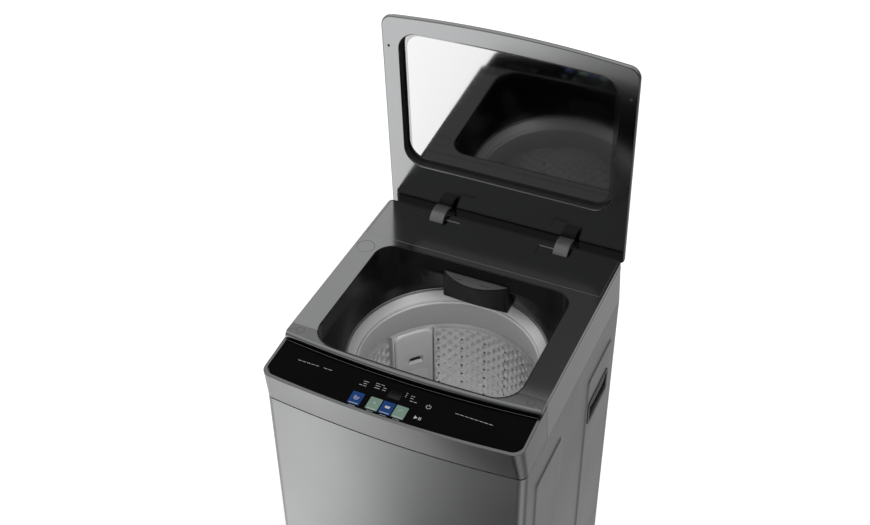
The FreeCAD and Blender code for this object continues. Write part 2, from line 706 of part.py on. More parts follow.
def suspension_cups():
    cups = []
    for x, y in rod_places():
        dome = Part.makeCone(20, 12, 16, vec(x, y, SPRING_Z[1] + 4))
        rim = cyl(20, x, y, SPRING_Z[1], SPRING_Z[1] + 4)
        collar = cyl(8.8, x, y, LUG_Z - 6, LUG_Z + 10)
        cap = cyl(15, x, y, LUG_Z + 14.2, LUG_Z + 18)
        neck = cyl(8.8, x, y, LUG_Z + 9, LUG_Z + 15)
        seat = cyl(15, x, y, LUG_Z - 5, LUG_Z - 0.2)
        cups.append(fuse([dome, rim, seat, collar, neck, cap]).cut(cyl(ROD_R + 0.5, x, y, 300, 600)))
    return Part.makeCompound(cups)


def suspension_rods():
    rods = []
    for x, y in rod_places():
        rods.append(fuse([cyl(ROD_R, x, y, SPRING_Z[0] - 14, 846), Part.makeSphere(9, vec(x, y, 850))]))
    return Part.makeCompound(rods)


def rod_end_seats():
    seats = []
    for x, y in rod_places():
        disc = cyl(20, x, y, SPRING_Z[0] - 6, SPRING_Z[0])
        collar = cyl(8, x, y, SPRING_Z[0] - 13, SPRING_Z[0] - 6)
        seats.append(disc.fuse(collar).cut(cyl(ROD_R, x, y, 300, 400)))
    return Part.makeCompound(seats)


def suspension_springs():
    return Part.makeCompound(
        [tube(12.5, 17, x, y, SPRING_Z[0], SPRING_Z[1]) for x, y in rod_places()]
    )


def corner_brackets():
    brackets = []
    top = 841.0
    wall = prism(plan_wire(HALF - SHEET, FRONT_Y + SHEET, REAR_Y - SHEET, 18.8, 8.8, 700), 200)
    for x, y in rod_places():
        sx, sy = (1 if x > 0 else -1), (1 if y > DRUM_Y else -1)
        corner = vec(sx * 310, DRUM_Y + sy * 340, top)
        p = [corner, vec(sx * 130, corner.y, top), vec(sx * 310, y - sy * 108, top)]
        plate = Part.Face(Part.makePolygon(p + p[:1])).extrude(vec(0, 0, 4))
        seat = cyl(15, x, y, top - 3, top + 6)
        post = fuse([plate, seat]).cut(Part.makeSphere(9.1, vec(x, y, 850))).cut(cyl(5.5, x, y, 800, 860))
        brackets.append(post.common(wall))
    return Part.makeCompound(brackets)


def tub_bracket():
    plate = tube(46.2, 150, 0, DRUM_Y, TUB_FLOOR - 8, TUB_FLOOR - 0.1)
    legs = []
    for i in range(4):
        leg = box(140, 225, -20, 20, TUB_FLOOR - 8, TUB_FLOOR - 0.1)
        leg.rotate(vec(0, 0, 0), vec(0, 0, 1), 45 + 90 * i)
        leg.translate(vec(0, DRUM_Y, 0))
        legs.append(leg)
    return fuse([plate] + legs).cut(cyl(20, 130, DRUM_Y + 90, 300, 400))


def gear_case():
    return revolve([
        (BEARING_R, CASE_Z[0]), (44, CASE_Z[0]), (46, CASE_Z[0] + 8), (46, CASE_Z[1] - 8),
        (80, CASE_Z[1] - 8), (80, CASE_Z[1] - 0.2), (46, CASE_Z[1] - 0.2), (46, TUB_FLOOR - 0.4),
        (BEARING_R, TUB_FLOOR - 0.4),
    ])


def main_bearings():
    return Part.makeCompound(
        [tube(SPIN_R + 0.02, BEARING_R, 0, DRUM_Y, z, z + 14) for z in (CASE_Z[0] + 4, CASE_Z[1] - 12)]
    )


def tub_seal():
    return revolve([
        (SPIN_R + 0.1, TUB_FLOOR), (SPIN_R + 16, TUB_FLOOR), (SPIN_R + 16, TUB_FLOOR + 9),
        (SPIN_R + 6, TUB_FLOOR + 12), (SPIN_R + 0.1, TUB_FLOOR + 12),
    ])


def motor_stator():
    z0, z1 = 216.0, 240.0
    core = tube(48, 88, 0, DRUM_Y, z0, z1)
    teeth = []
    for i in range(24):
        tooth = box(86, 108, -5.5, 5.5, z0 - 2, z1 + 2)
        tooth.rotate(vec(0, 0, 0), vec(0, 0, 1), 15 * i)
        tooth.translate(vec(0, DRUM_Y, 0))
        teeth.append(tooth)
    mount = tube(30, 60, 0, DRUM_Y, z1 - 1, CASE_Z[0] - 0.1)
    return fuse([core, mount] + teeth)


def motor_rotor():
    cup = revolve([
        (SHAFT_R + 0.02, 196), (128, 196), (128, 246), (124, 246), (124, 200), (26, 200),
        (20, 214), (SHAFT_R + 0.02, 214),
    ])
    magnets = tube(110, 124, 0, DRUM_Y, 206, 244)
    return cup.fuse(magnets).removeSplitter()


def wash_shaft():
    return cyl(SHAFT_R, 0, DRUM_Y, 190, BASKET_FLOOR + 30)


def spin_shaft():
    flange = tube(SHAFT_R + 0.06, 40, 0, DRUM_Y, BASKET_FLOOR - 22, BASKET_FLOOR - 14)
    return fuse([tube(SHAFT_R + 0.06, SPIN_R, 0, DRUM_Y, CASE_Z[0] - 10, BASKET_FLOOR - 14), flange])


def drain_valve():
    x, y = 130.0, DRUM_Y + 90
    body = fuse([cyl(22, x, y, 292, 336), box(x, x + 70, y - 18, y + 18, 296, 330)])
    neck = cyl(15, x, y, 336, TUB_FLOOR + 4)
    outlet = rod_y(14, x, y, y + 60, 306)
    return fuse([body, neck, outlet])


def basket():
    wall = tube(BASKET_R, BASKET_R + 1.2, 0, DRUM_Y, BASKET_FLOOR, RING_BOTTOM)
    floor = tube(60, BASKET_R + 1, 0, DRUM_Y, BASKET_FLOOR, BASKET_FLOOR + 1.2)
    window = box(-FILTER_W / 2, FILTER_W / 2, 200, 260, FILTER_Z[0] + 10, FILTER_Z[1] - 10)
    return fuse([wall, floor]).cut(filter_place(window))


def basket_base():
    z = BASKET_FLOOR
    disc = revolve([
        (SPIN_R + 0.3, z - 13.9), (60, z - 13.9), (BASKET_R, z - 8), (BASKET_R, z - 0.1),
        (SPIN_R + 0.3, z - 0.1),
    ])
    slots = []
    for i in range(12):
        slot = box(80, 200, -14, 14, z - 20, z + 5)
        slot.rotate(vec(0, 0, 0), vec(0, 0, 1), 30 * i + 15)
        slot.translate(vec(0, DRUM_Y, 0))
        slots.append(slot)
    return cut(disc, slots)


def balance_ring():
    return revolve([
        (RING_R, RING_BOTTOM + 0.1), (RING_R, RING_TOP - 2), (RING_R - 2, RING_TOP), (226, RING_TOP),
        (206, RING_TOP - 22), (205, RING_TOP - 25), (207.5, RING_TOP - 29), (219.5, RING_BOTTOM + 0.1),
    ])


def filter_place(shape):
    """Moves a piece drawn at the back of the basket (+Y) round to the filter's place."""
    out = shape.copy()
    out.rotate(vec(0, 0, 0), vec(0, 0, 1), FILTER_ANGLE - 90)
    out.translate(vec(0, DRUM_Y, 0))
    return out


def filter_slab(r_in, r_out, half, z0, z1):
    ring = Part.makeCylinder(r_out, z1 - z0, vec(0, 0, z0)).cut(
        Part.makeCylinder(r_in, z1 - z0 + 2, vec(0, 0, z0 - 1))
    )
    return ring.common(box(-half, half, 100, 300, z0, z1))


def filter_frame():
    """The moulded channel on the basket wall that the lint filter clips into."""
    half = FILTER_W / 2
    outer = filter_slab(BASKET_R - 12, BASKET_R - 0.4, half + 4, FILTER_Z[0] - 8, FILTER_Z[1])
    inner = filter_slab(BASKET_R - 20, BASKET_R - 3, half + 0.6, FILTER_Z[0] - 4.5, FILTER_Z[1] + 5)
    port = box(-half + 15, half - 15, 150, 260, FILTER_Z[0] + 15, FILTER_Z[1] - 20)
    return filter_place(outer.cut(inner).cut(port))


def lint_filter():
    half = FILTER_W / 2
    cover = filter_slab(BASKET_R - 13, BASKET_R - 9.5, half, FILTER_Z[0], FILTER_Z[1])
    rims = []
    for s in (-1, 1):
        rims.append(filter_slab(BASKET_R - 13, BASKET_R - 3.5, 3, FILTER_Z[0] + 10, FILTER_Z[1]))
        rims[-1].rotate(vec(0, 0, 0), vec(0, 0, 1), s * math.degrees(math.asin((half - 3) / BASKET_R)))
    slots = [box(-14, 24, 150, 260, FILTER_Z[1] - 104, FILTER_Z[1] - 84)]
    slots += [box(-34, 34, 150, 260, z, z + 5) for z in range(500, 600, 12)]
    bead = rod_x(3, -35, 35, BASKET_R - 11.2, FILTER_Z[0] + 4)
    return filter_place(cut(fuse([cover, bead] + rims), slots))


def pulsator():
    z = BASKET_FLOOR + 5
    body = revolve([
        (SHAFT_R + 0.02, z), (184, z), (186, z + 3), (184, z + 7), (150, z + 9), (90, z + 13), (48, z + 26),
        (34, z + 34), (SHAFT_R + 9, z + 36), (SHAFT_R + 9, z + 26), (SHAFT_R + 0.02, z + 26),
    ])
    vanes = []
    for i in range(6):
        vane = Part.Face(Part.makePolygon([
            vec(46, -11, z + 5), vec(46, 11, z + 5), vec(46, 4, z + 34), vec(46, -4, z + 34),
            vec(46, -11, z + 5),
        ])).extrude(vec(122, 0, 0)).cut(
            Part.Face(Part.makePolygon([
                vec(40, -20, z + 44), vec(190, -20, z + 44), vec(190, -20, z + 12), vec(40, -20, z + 36),
                vec(40, -20, z + 44),
            ])).extrude(vec(0, 40, 0))
        )
        vane.rotate(vec(0, 0, 0), vec(0, 0, 1), 60 * i + 10)
        vane.translate(vec(0, DRUM_Y, 0))
        vanes.append(vane)
    return fuse([body] + vanes)


def pulsator_screw():
    z = BASKET_FLOOR + 31
    return fuse([cyl(12, 0, DRUM_Y, z, z + 4), cyl(7, 0, DRUM_Y, z + 4, z + 9)])


# ---- Services ------------------------------------------------------------------
def drain_spigot():
    pipe = rod_y(16, INLET_X, REAR_Y - 30, REAR_Y + 4, DRAIN_Z)
    spigot = rod_y(17, INLET_X, REAR_Y + 4, REAR_Y + 26, DRAIN_Z)
    bore = rod_y(14, INLET_X, REAR_Y - 40, REAR_Y + 40, DRAIN_Z)
    flange = rod_y(24, INLET_X, REAR_Y - 6, REAR_Y - 0.2, DRAIN_Z)
    return fuse([pipe, spigot, flange]).cut(bore)


def cord_gland():
    body = rod_y(9, CORD_X, REAR_Y - 10, REAR_Y + 8, CORD_Z)
    flange = rod_y(13, CORD_X, REAR_Y + 0.2 + SHEET, REAR_Y + 4, CORD_Z)
    return fuse([body, flange]).cut(rod_y(4.2, CORD_X, REAR_Y - 20, REAR_Y + 20, CORD_Z))


def motor_driver_box():
    return box(-90, 90, REAR_Y - 36, REAR_Y - 6, 130, 250)


def pressure_switch():
    y = REAR_Y - 145
    return fuse([cyl(24, 262, y, 925, 945), cyl(4, 262, y, 908, 925)])


def save(name, shape):
    if shape.ShapeType == "Compound" and len(shape.Solids) == 1:
        shape = shape.Solids[0]
    bad = "" if shape.isValid() else "  NOT VALID"
    print(f"{name}: {len(shape.Solids)} solids, {shape.Volume / 1000:.1f} cm3{bad}")
    shape.exportStep(os.path.join("parts", name + ".step"))


def main():
    os.makedirs("parts", exist_ok=True)
    shell = cover_shell()
    handle = carry_handle()
    housing = hinge_housing()
    arm = lid_arm()
    pieces = {
        "cabinet_shell": cabinet_shell(),
        "rear_panel": rear_panel(),
        "panel_screws": panel_screws(),
        "base_frame": base_frame(),
        "fixed_feet": fixed_feet(),
        "adjustable_foot": adjustable_foot(),
        "carry_handle_right": handle,
        "carry_handle_left": mirror_x(handle),
        "top_cover": top_cover(shell),
        "rear_deck_cover": rear_deck_cover(),
        "deck_plug": deck_plug(),
        "screw_caps": screw_caps(),
        "control_bezel": control_bezel(shell),
        "control_glass": control_glass(),
        "touch_keys_blue": touch_keys("blue"),
        "touch_keys_green": touch_keys("green"),
        "display_window": display_window(),
        "control_housing": control_housing(),
        "control_board": control_board(),
        "basin": basin(),
        "dispenser_housing": dispenser_housing(),
        "dispenser_drawer": dispenser_drawer(),
        "inlet_valve": inlet_valve(),
        "inlet_duct": inlet_duct(),
        "hinge_housing_right": housing,
        "hinge_housing_left": mirror_x(housing),
        "hinge_pins": hinge_pins(),
        "lid_arm_right": arm,
        "lid_arm_left": mirror_x(arm),
        "lid_outer_shell": lid_outer_shell(),
        "lid_inner_frame": lid_inner_frame(),
        "lid_glass": lid_glass(),
        "lid_bumpers": lid_bumpers(),
        "outer_tub": outer_tub(),
        "tub_cover": tub_cover(),
        "suspension_cups": suspension_cups(),
        "suspension_rods": suspension_rods(),
        "rod_end_seats": rod_end_seats(),
        "suspension_springs": suspension_springs(),
        "corner_brackets": corner_brackets(),
        "tub_bracket": tub_bracket(),
        "gear_case": gear_case(),
        "main_bearings": main_bearings(),
        "tub_seal": tub_seal(),
        "motor_stator": motor_stator(),
        "motor_rotor": motor_rotor(),
        "wash_shaft": wash_shaft(),
        "spin_shaft": spin_shaft(),
        "drain_valve": drain_valve(),
        "basket": basket(),
        "basket_base": basket_base(),
        "balance_ring": balance_ring(),
        "filter_frame": filter_frame(),
        "lint_filter": lint_filter(),
        "pulsator": pulsator(),
        "pulsator_screw": pulsator_screw(),
        "drain_spigot": drain_spigot(),
        "cord_gland": cord_gland(),
        "motor_driver_box": motor_driver_box(),
        "pressure_switch": pressure_switch(),
    }
    for name, shape in pieces.items():
        save(name, shape)


main()
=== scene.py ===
import math

import bmesh
import bpy
from mathutils import Matrix, Vector


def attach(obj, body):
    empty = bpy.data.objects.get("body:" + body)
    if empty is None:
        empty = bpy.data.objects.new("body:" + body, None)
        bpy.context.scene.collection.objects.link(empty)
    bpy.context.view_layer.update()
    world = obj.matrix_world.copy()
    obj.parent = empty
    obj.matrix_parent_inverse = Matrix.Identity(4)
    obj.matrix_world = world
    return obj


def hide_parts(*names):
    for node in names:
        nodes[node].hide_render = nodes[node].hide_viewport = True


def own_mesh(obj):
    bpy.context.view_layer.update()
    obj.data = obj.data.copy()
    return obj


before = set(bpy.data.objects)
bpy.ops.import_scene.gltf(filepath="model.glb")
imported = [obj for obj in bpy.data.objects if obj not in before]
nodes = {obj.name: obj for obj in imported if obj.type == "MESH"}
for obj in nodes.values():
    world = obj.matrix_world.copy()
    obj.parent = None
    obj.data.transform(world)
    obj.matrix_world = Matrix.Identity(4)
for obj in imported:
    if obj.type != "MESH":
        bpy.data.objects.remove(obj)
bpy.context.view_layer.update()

# A top-loading washing machine with its lid open. Sizes in millimetres, as in the CAD source:
# X to the right seen from the front, +Y to the back, Z up from the floor.
MM = 0.001
HALF = 300.0
SEAM_Z = 868.0
DECK_Z = 978.0
DECK_HALF = 294.0
REAR_Y = 303.5
FRONT_Y = REAR_Y - 610.0
BOW = 17.0
DECK_FRONT_Y = REAR_Y - 513.0
STRIP_Y = REAR_Y - 486.0
ROLL_DEPTH = 7.5
ROLL_DROP = 13.0
PANEL_TOP_Y = REAR_Y - 522.0
PANEL_TOP_Z = 961.0
PANEL_DEPTH = 97.0
PANEL_SLOPE = 4.0
PANEL_HALF = 288.5
OPEN_HALF = 234.5
OPEN_REAR = REAR_Y - 159.0
OPEN_FRONT = REAR_Y - 513.0
DRUM_Y = REAR_Y - 320.0
RING_TOP = 845.0
RING_BOTTOM = 744.0
RING_R = 231.0
BASKET_R = 221.5
BASKET_FLOOR = 396.0
TUB_R = 250.0
TUB_TOP = 800.0
HINGE_Y = REAR_Y - 5.0
HINGE_Z = DECK_Z - 20.0
LID_OPEN = 87.0
LID_HALF = 295.0
LID_UNDER = DECK_Z + 1.5
LID_TOP = 1000.0
LID_FRONT_Y = HINGE_Y - 526.0
WINDOW_HALF = 253.0
WINDOW_REAR = HINGE_Y - 133.0
WINDOW_FRONT = HINGE_Y - 489.0
GLASS_Z = LID_TOP - 5.0
ARM_X = 156.0
ARM_W = 35.0
ARM_R = 38.0
FILTER_ANGLE = 137.5
FILTER_W = 104.0
FILTER_Z = (470.0, 740.0)
# Angles in degrees: edges that stay sharp on pieces and on CAD nodes, edges that are rounded, and
# faces that count as one plane.
CREASE = 40
NODE_CREASE = 30
EDGE_ANGLE = 35
FLAT_ANGLE = 0.05


# ---- Outlines and meshes --------------------------------------------------------
def fillet(points, n=6, cuts=1):
    """Rounds the corners (x, y, radius) of a closed outline, n steps a corner, cuts steps a side."""
    count = len(points)
    spans = []
    for i, (x, y, r) in enumerate(points):
        here = Vector((x, y))
        if r <= 0:
            spans.append([here])
            continue
        a = (Vector(points[i - 1][:2]) - here).normalized()
        b = (Vector(points[(i + 1) % count][:2]) - here).normalized()
        half = a.angle(b) / 2
        centre = here + (a + b).normalized() * (r / math.sin(half))
        u = here + a * (r / math.tan(half)) - centre
        v = here + b * (r / math.tan(half)) - centre
        sweep = math.pi - 2 * half
        spans.append([
            centre + (u * math.sin((1 - k / n) * sweep) + v * math.sin(k / n * sweep)) / math.sin(sweep)
            for k in range(n + 1)
        ])
    out = []
    for i, span in enumerate(spans):
        after = spans[(i + 1) % count][0]
        out += span + [span[-1].lerp(after, k / cuts) for k in range(1, cuts)]
    return out


def plan(half, front, rear, r_front, r_rear, bow=BOW, cuts=24, n=8):
    """Outline seen from above: straight sides and back, bowed front, round corners."""
    edge = front - bow * (1 - ((half - r_front) / HALF) ** 2)
    corners = [(-half, rear, r_rear), (half, rear, r_rear), (half, edge, r_front), (-half, edge, r_front)]
    loop = fillet(corners, n=n, cuts=cuts)
    for p in loop:
        if p.y < edge + 1e-3:
            p.y = front - bow * (1 - (p.x / HALF) ** 2)
    return loop


def level(loop, z):
    return [Vector((p.x, p.y, z)) for p in loop]


def rise(form, profile):
    """Loops of form(inset) at heights z, for a profile of (inset, z)."""
    return [level(form(p[0]), p[1]) for p in profile]


def stack(loops, cap=False, ring=False, wrap=True):
    """Quads between loops of equal length; cap closes both ends, ring joins the last loop to the first."""
    n, rows = len(loops[0]), len(loops)
    faces = []
    for i in range(rows if ring else rows - 1):
        for j in range(n if wrap else n - 1):
            k, m = (j + 1) % n, (i + 1) % rows
            faces.append((i * n + j, i * n + k, m * n + k, m * n + j))
    if cap:
        faces += [tuple(range(n)), tuple(range((rows - 1) * n, rows * n))]
    return [p for loop in loops for p in loop], faces


def lathe(profile, steps):
    """Loops of a profile of (radius, height) turned about the drum's axis."""
    loops = []
    for k in range(steps):
        a = math.radians(360.0 * k / steps)
        loops.append([Vector((p[0] * math.cos(a), DRUM_Y + p[0] * math.sin(a), p[1])) for p in profile])
    return loops


def together(parts):
    verts, faces = [], []
    for v, f in parts:
        base = len(verts)
        verts += v
        faces += [tuple(i + base for i in face) for face in f]
    return verts, faces


def moved(part, matrix):
    return [matrix @ p for p in part[0]], part[1]


def about(point, axis, degrees):
    """A turn about a line through a point."""
    return (
        Matrix.Translation(point) @ Matrix.Rotation(math.radians(degrees), 4, axis)
        @ Matrix.Translation(-Vector(point))
    )


TILT = about((0, PANEL_TOP_Y, PANEL_TOP_Z), "X", PANEL_SLOPE)
OPENED = about((0, HINGE_Y, HINGE_Z), "X", -LID_OPEN)
TO_FILTER = Matrix.Translation((0, DRUM_Y, 0)) @ Matrix.Rotation(math.radians(FILTER_ANGLE - 90), 4, "Z")
MIRROR = Matrix.Scale(-1, 4, (1, 0, 0))


def new_object(name, part, facing=None):
    """An object from millimetre vertices, its faces outwards or its last one towards facing."""
    mesh = bpy.data.meshes.new(name)
    mesh.from_pydata([tuple(p * MM) for p in part[0]], [], part[1])
    bm = bmesh.new()
    bm.from_mesh(mesh)
    bmesh.ops.remove_doubles(bm, verts=bm.verts, dist=2e-6)
    bmesh.ops.recalc_face_normals(bm, faces=bm.faces)
    if facing:
        bm.faces.ensure_lookup_table()
        if bm.faces[-1].normal.dot(facing) < 0:
            bmesh.ops.reverse_faces(bm, faces=bm.faces)
    bm.to_mesh(mesh)
    bm.free()
    obj = bpy.data.objects.new(name, mesh)
    bpy.context.scene.collection.objects.link(obj)
    return obj


def piece(
    name, part, body, slot, stands_for=(), finish=None, crease=CREASE, solid=0.0, bevel=0.0, facing=None,
):
    """One piece, smooth but for edges sharper than crease, with its slot's finish or the one named.

    An open sheet gets its thickness, solid, away from facing.
    """
    obj = new_object(name, part, facing)
    mesh = obj.data
    mesh.materials.append(M[finish or slot])
    mesh.shade_smooth()
    mesh.set_sharp_from_angle(angle=math.radians(crease))
    if solid:
        thick = obj.modifiers.new("Thickness", "SOLIDIFY")
        thick.thickness = solid * MM
        thick.offset = -1
    if bevel:
        round_edges(obj, bevel)
    even = obj.modifiers.new("Normals", "WEIGHTED_NORMAL")
    even.keep_sharp = True
    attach(obj, body)
    if stands_for:
        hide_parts(*stands_for)
    return obj


def round_edges(obj, width):
    soft = obj.modifiers.new("Edges", "BEVEL")
    soft.width = width * MM
    soft.segments = 2
    soft.limit_method = "ANGLE"
    soft.angle_limit = math.radians(EDGE_ANGLE)
    soft.use_clamp_overlap = False


def carve(obj, boxes):
    """Cuts boxes (x0, x1, y0, y1, z0, z1) out of a closed piece."""
    bpy.context.view_layer.update()
    for x0, x1, y0, y1, z0, z1 in boxes:
        loop = fillet([(x0, z0, 3), (x1, z0, 3), (x1, z1, 3), (x0, z1, 3)], n=4)
        ends = [[Vector((p.x, y, p.y)) for p in loop] for y in (y0, y1)]
        cutter = new_object("cutter", stack(ends, cap=True))
        mod = obj.modifiers.new("Cut", "BOOLEAN")
        mod.object = cutter
        mod.solver = "EXACT"
        bpy.context.view_layer.update()
        result = bpy.data.meshes.new_from_object(obj.evaluated_get(bpy.context.evaluated_depsgraph_get()))
        obj.modifiers.remove(mod)
        obj.data = result
        bpy.data.objects.remove(cutter)
    obj.data.set_sharp_from_angle(angle=math.radians(CREASE))


def finish_node(name, finish, edge=0.0):
    """Gives a CAD node its material, smooth shading and, where edge says how far, rounded edges."""
    obj = nodes[name]
    mesh = obj.data
    mesh.materials.clear()
    mesh.materials.append(M[finish])
    for stored in ("custom_normal", "sharp_edge"):
        if stored in mesh.attributes:
            mesh.attributes.remove(mesh.attributes[stored])
    mesh.shade_smooth()
    weld = obj.modifiers.new("Weld", "WELD")
    weld.merge_threshold = 1e-5
    flat = obj.modifiers.new("Flat", "DECIMATE")
    flat.decimate_type = "DISSOLVE"
    flat.angle_limit = math.radians(FLAT_ANGLE)
    if edge:
        round_edges(obj, edge)
    else:
        split = obj.modifiers.new("Sharp", "EDGE_SPLIT")
        split.split_angle = math.radians(NODE_CREASE)
    obj.modifiers.new("Normals", "WEIGHTED_NORMAL")


# ---- Materials --------------------------------------------------------------------
def mixed(tree, factor, first, second, kind="MIX"):
    """A mix of two colours; each of the three inputs is a socket or a plain value."""
    node = tree.nodes.new("ShaderNodeMix")
    node.data_type = "RGBA"
    node.blend_type = kind
    colours = [k for k in node.inputs if k.type == "RGBA"]
    for socket, value in zip([node.inputs["Factor"]] + colours, (factor, first, second)):
        if isinstance(value, bpy.types.NodeSocket):
            tree.links.new(value, socket)
        else:
            socket.default_value = value
    return [k for k in node.outputs if k.type == "RGBA"][0]


def surface(
    colour, rough, metallic=0.0, vary=0.06, patch=4.0, grain=700.0, bump=0.0, depth=0.05,
    rough_vary=0.06, coat=0.0, stretch=(1, 1, 1), specular=0.5, glow=0.0, flake=0.0,
):
    """A procedural finish: broad and fine variation, uneven roughness and surface grain."""
    mat = bpy.data.materials.new("finish")
    mat.use_nodes = True
    tree = mat.node_tree
    link = tree.links.new
    shader = tree.nodes["Principled BSDF"]
    shader.inputs["Metallic"].default_value = metallic
    shader.inputs["Specular IOR Level"].default_value = specular
    shader.inputs["Coat Weight"].default_value = coat
    shader.inputs["Coat Roughness"].default_value = 0.05
    place = tree.nodes.new("ShaderNodeTexCoord")
    mapping = tree.nodes.new("ShaderNodeMapping")
    mapping.inputs["Scale"].default_value = stretch
    link(place.outputs["Object"], mapping.inputs["Vector"])

    def noise(scale, detail):
        node = tree.nodes.new("ShaderNodeTexNoise")
        node.inputs["Scale"].default_value = scale
        node.inputs["Detail"].default_value = detail
        link(mapping.outputs["Vector"], node.inputs["Vector"])
        return node.outputs["Fac"]

    def shade(factor):
        return tuple(min(1.0, c * factor) for c in colour) + (1,)

    def spread(value, low, high, start=0.2, end=0.8):
        node = tree.nodes.new("ShaderNodeMapRange")
        node.interpolation_type = "SMOOTHSTEP"
        link(value, node.inputs["Value"])
        node.inputs["From Min"].default_value = start
        node.inputs["From Max"].default_value = end
        node.inputs["To Min"].default_value = low
        node.inputs["To Max"].default_value = high
        return node.outputs["Result"]

    broad, fine = noise(patch, 5), noise(grain, 3)
    paint = mixed(tree, broad, shade(1 - vary), shade(1 + vary))
    if flake:
        specks = tree.nodes.new("ShaderNodeTexVoronoi")
        specks.inputs["Scale"].default_value = 1600
        link(mapping.outputs["Vector"], specks.inputs["Vector"])
        amount = spread(specks.outputs["Distance"], 0.35, 0.0, 0.0, 0.6)
        paint = mixed(tree, amount, paint, shade(1 + flake))
    link(paint, shader.inputs["Base Color"])
    link(spread(broad, max(0.01, rough - rough_vary), rough + rough_vary), shader.inputs["Roughness"])
    if glow:
        link(paint, shader.inputs["Emission Color"])
        shader.inputs["Emission Strength"].default_value = glow
    if bump:
        relief = tree.nodes.new("ShaderNodeBump")
        relief.inputs["Strength"].default_value = bump
        relief.inputs["Distance"].default_value = depth * MM
        link(fine, relief.inputs["Height"])
        link(relief.outputs["Normal"], shader.inputs["Normal"])
    return mat


def grey(value, tint=0.0):
    return (value, value * (1 + tint / 2), value * (1 + tint))


M = {
    "cabinet_paint": surface(
        grey(0.095, 0.02), 0.31, metallic=1.0, vary=0.03, bump=0.25, depth=0.02,
        rough_vary=0.03, flake=0.5,
    ),
    "cover_paint": surface(
        grey(0.095, 0.02), 0.16, metallic=1.0, vary=0.03, bump=0.15, depth=0.02,
        rough_vary=0.03, coat=0.1, flake=0.3,
    ),
    "fascia_paint": surface(
        grey(0.060, 0.02), 0.22, metallic=1.0, vary=0.03, bump=0.15, depth=0.02,
        rough_vary=0.03, coat=0.1, flake=0.3,
    ),
    "lid_paint": surface(
        grey(0.10, 0.02), 0.12, metallic=1.0, vary=0.03, bump=0.12, depth=0.02,
        rough_vary=0.03, coat=0.1, flake=0.2,
    ),
    "zinc_steel": surface(
        grey(0.36, 0.02), 0.36, metallic=0.95, vary=0.07, patch=60, bump=0.3, rough_vary=0.07,
    ),
    "screw_steel": surface(grey(0.62), 0.35, metallic=1.0, vary=0.08, patch=60, bump=0.2),
    "spring_steel": surface(grey(0.42), 0.36, metallic=1.0, vary=0.1, patch=80, bump=0.3),
    "cast_metal": surface(
        grey(0.36), 0.5, metallic=0.9, vary=0.12, patch=40, grain=900, bump=0.8, depth=0.2,
    ),
    "copper": surface(
        (0.55, 0.22, 0.10), 0.4, metallic=0.9, vary=0.15, patch=50, bump=0.8,
        depth=0.3, stretch=(1, 1, 3),
    ),
    "dark_plastic": surface(grey(0.045), 0.55, vary=0.15, grain=1200, bump=0.6, depth=0.08),
    "rubber": surface(grey(0.022), 0.75, vary=0.25, patch=20, grain=900, bump=0.7, depth=0.1),
    "black_plastic": surface(grey(0.012), 0.38, vary=0.2, grain=1400, bump=0.5, depth=0.05),
    "hose_black": surface(grey(0.02), 0.6, vary=0.2, patch=20, bump=0.5, depth=0.1),
    "black_glass": surface(
        grey(0.0015), 0.08, vary=0.3, rough_vary=0.03, patch=9, bump=0.03, depth=0.01,
        specular=0.01,
    ),
    "blue_key": surface((0.010, 0.042, 0.16), 0.2, vary=0.3, patch=45, bump=0.05, specular=0.03),
    "green_key": surface((0.16, 0.24, 0.195), 0.2, vary=0.14, patch=45, bump=0.05, specular=0.05),
    "display": surface(
        grey(0.014), 0.35, vary=0.2, patch=60, grain=2200, bump=0.2, depth=0.01, specular=0.1,
    ),
    "print_white": surface(
        grey(0.42), 0.5, vary=0.1, patch=90, grain=1600, bump=0.2, depth=0.01, specular=0.2,
    ),
    "print_grey": surface(grey(0.012), 0.5, vary=0.15, patch=90, grain=1600, bump=0.2, depth=0.01),
    "white_plastic": surface((0.72, 0.71, 0.67), 0.45, vary=0.05, patch=12, grain=1000, bump=0.4),
    "circuit": surface((0.02, 0.13, 0.06), 0.4, vary=0.35, patch=120, bump=0.5),
    "basin_black": surface(
        grey(0.008), 0.24, vary=0.15, patch=8, bump=0.12, depth=0.03, rough_vary=0.03,
        specular=0.12,
    ),
    "dispenser_grey": surface(grey(0.010), 0.35, vary=0.12, patch=20, bump=0.2, depth=0.02, specular=0.15),
    # Painted highlight: a lighter copy of the dispenser grey for the light falling on the drawer's top.
    "crescent_lit_grey": surface(grey(0.085), 0.4, vary=0.1, patch=30, bump=0.3),
    "hinge_grey": surface(grey(0.07), 0.35, vary=0.1, patch=30, bump=0.3),
    "smoked_glass": surface(
        grey(0.2), 0.05, metallic=1.0, vary=0.03, rough_vary=0.02, patch=5, bump=0.02,
        depth=0.01,
    ),
    "glass_border": surface(
        grey(0.13), 0.1, metallic=1.0, vary=0.04, rough_vary=0.02, patch=5, bump=0.02,
        depth=0.01,
    ),
    "tub_plastic": surface(grey(0.30), 0.45, patch=12, bump=0.3),
    "ring_plastic": surface(grey(0.225), 0.36, vary=0.04, patch=14, bump=0.15, depth=0.02),
    "stainless": surface(
        grey(0.86), 0.22, metallic=1.0, vary=0.05, patch=10, grain=260, bump=0.12,
        depth=0.02, stretch=(1, 1, 0.12), rough_vary=0.04,
    ),
    "floor_steel": surface(
        grey(0.24), 0.4, metallic=1.0, vary=0.1, patch=14, grain=260, bump=0.2, depth=0.02,
    ),
    "filter_grey": surface(grey(0.34), 0.36, patch=30, bump=0.2),
    "floor": surface(grey(0.9), 0.85, vary=0.005, bump=0.05, glow=0.35),
    "pulsator_grey": surface(grey(0.36), 0.36, patch=18, bump=0.25),
}
for title, made in M.items():
    made.name = title


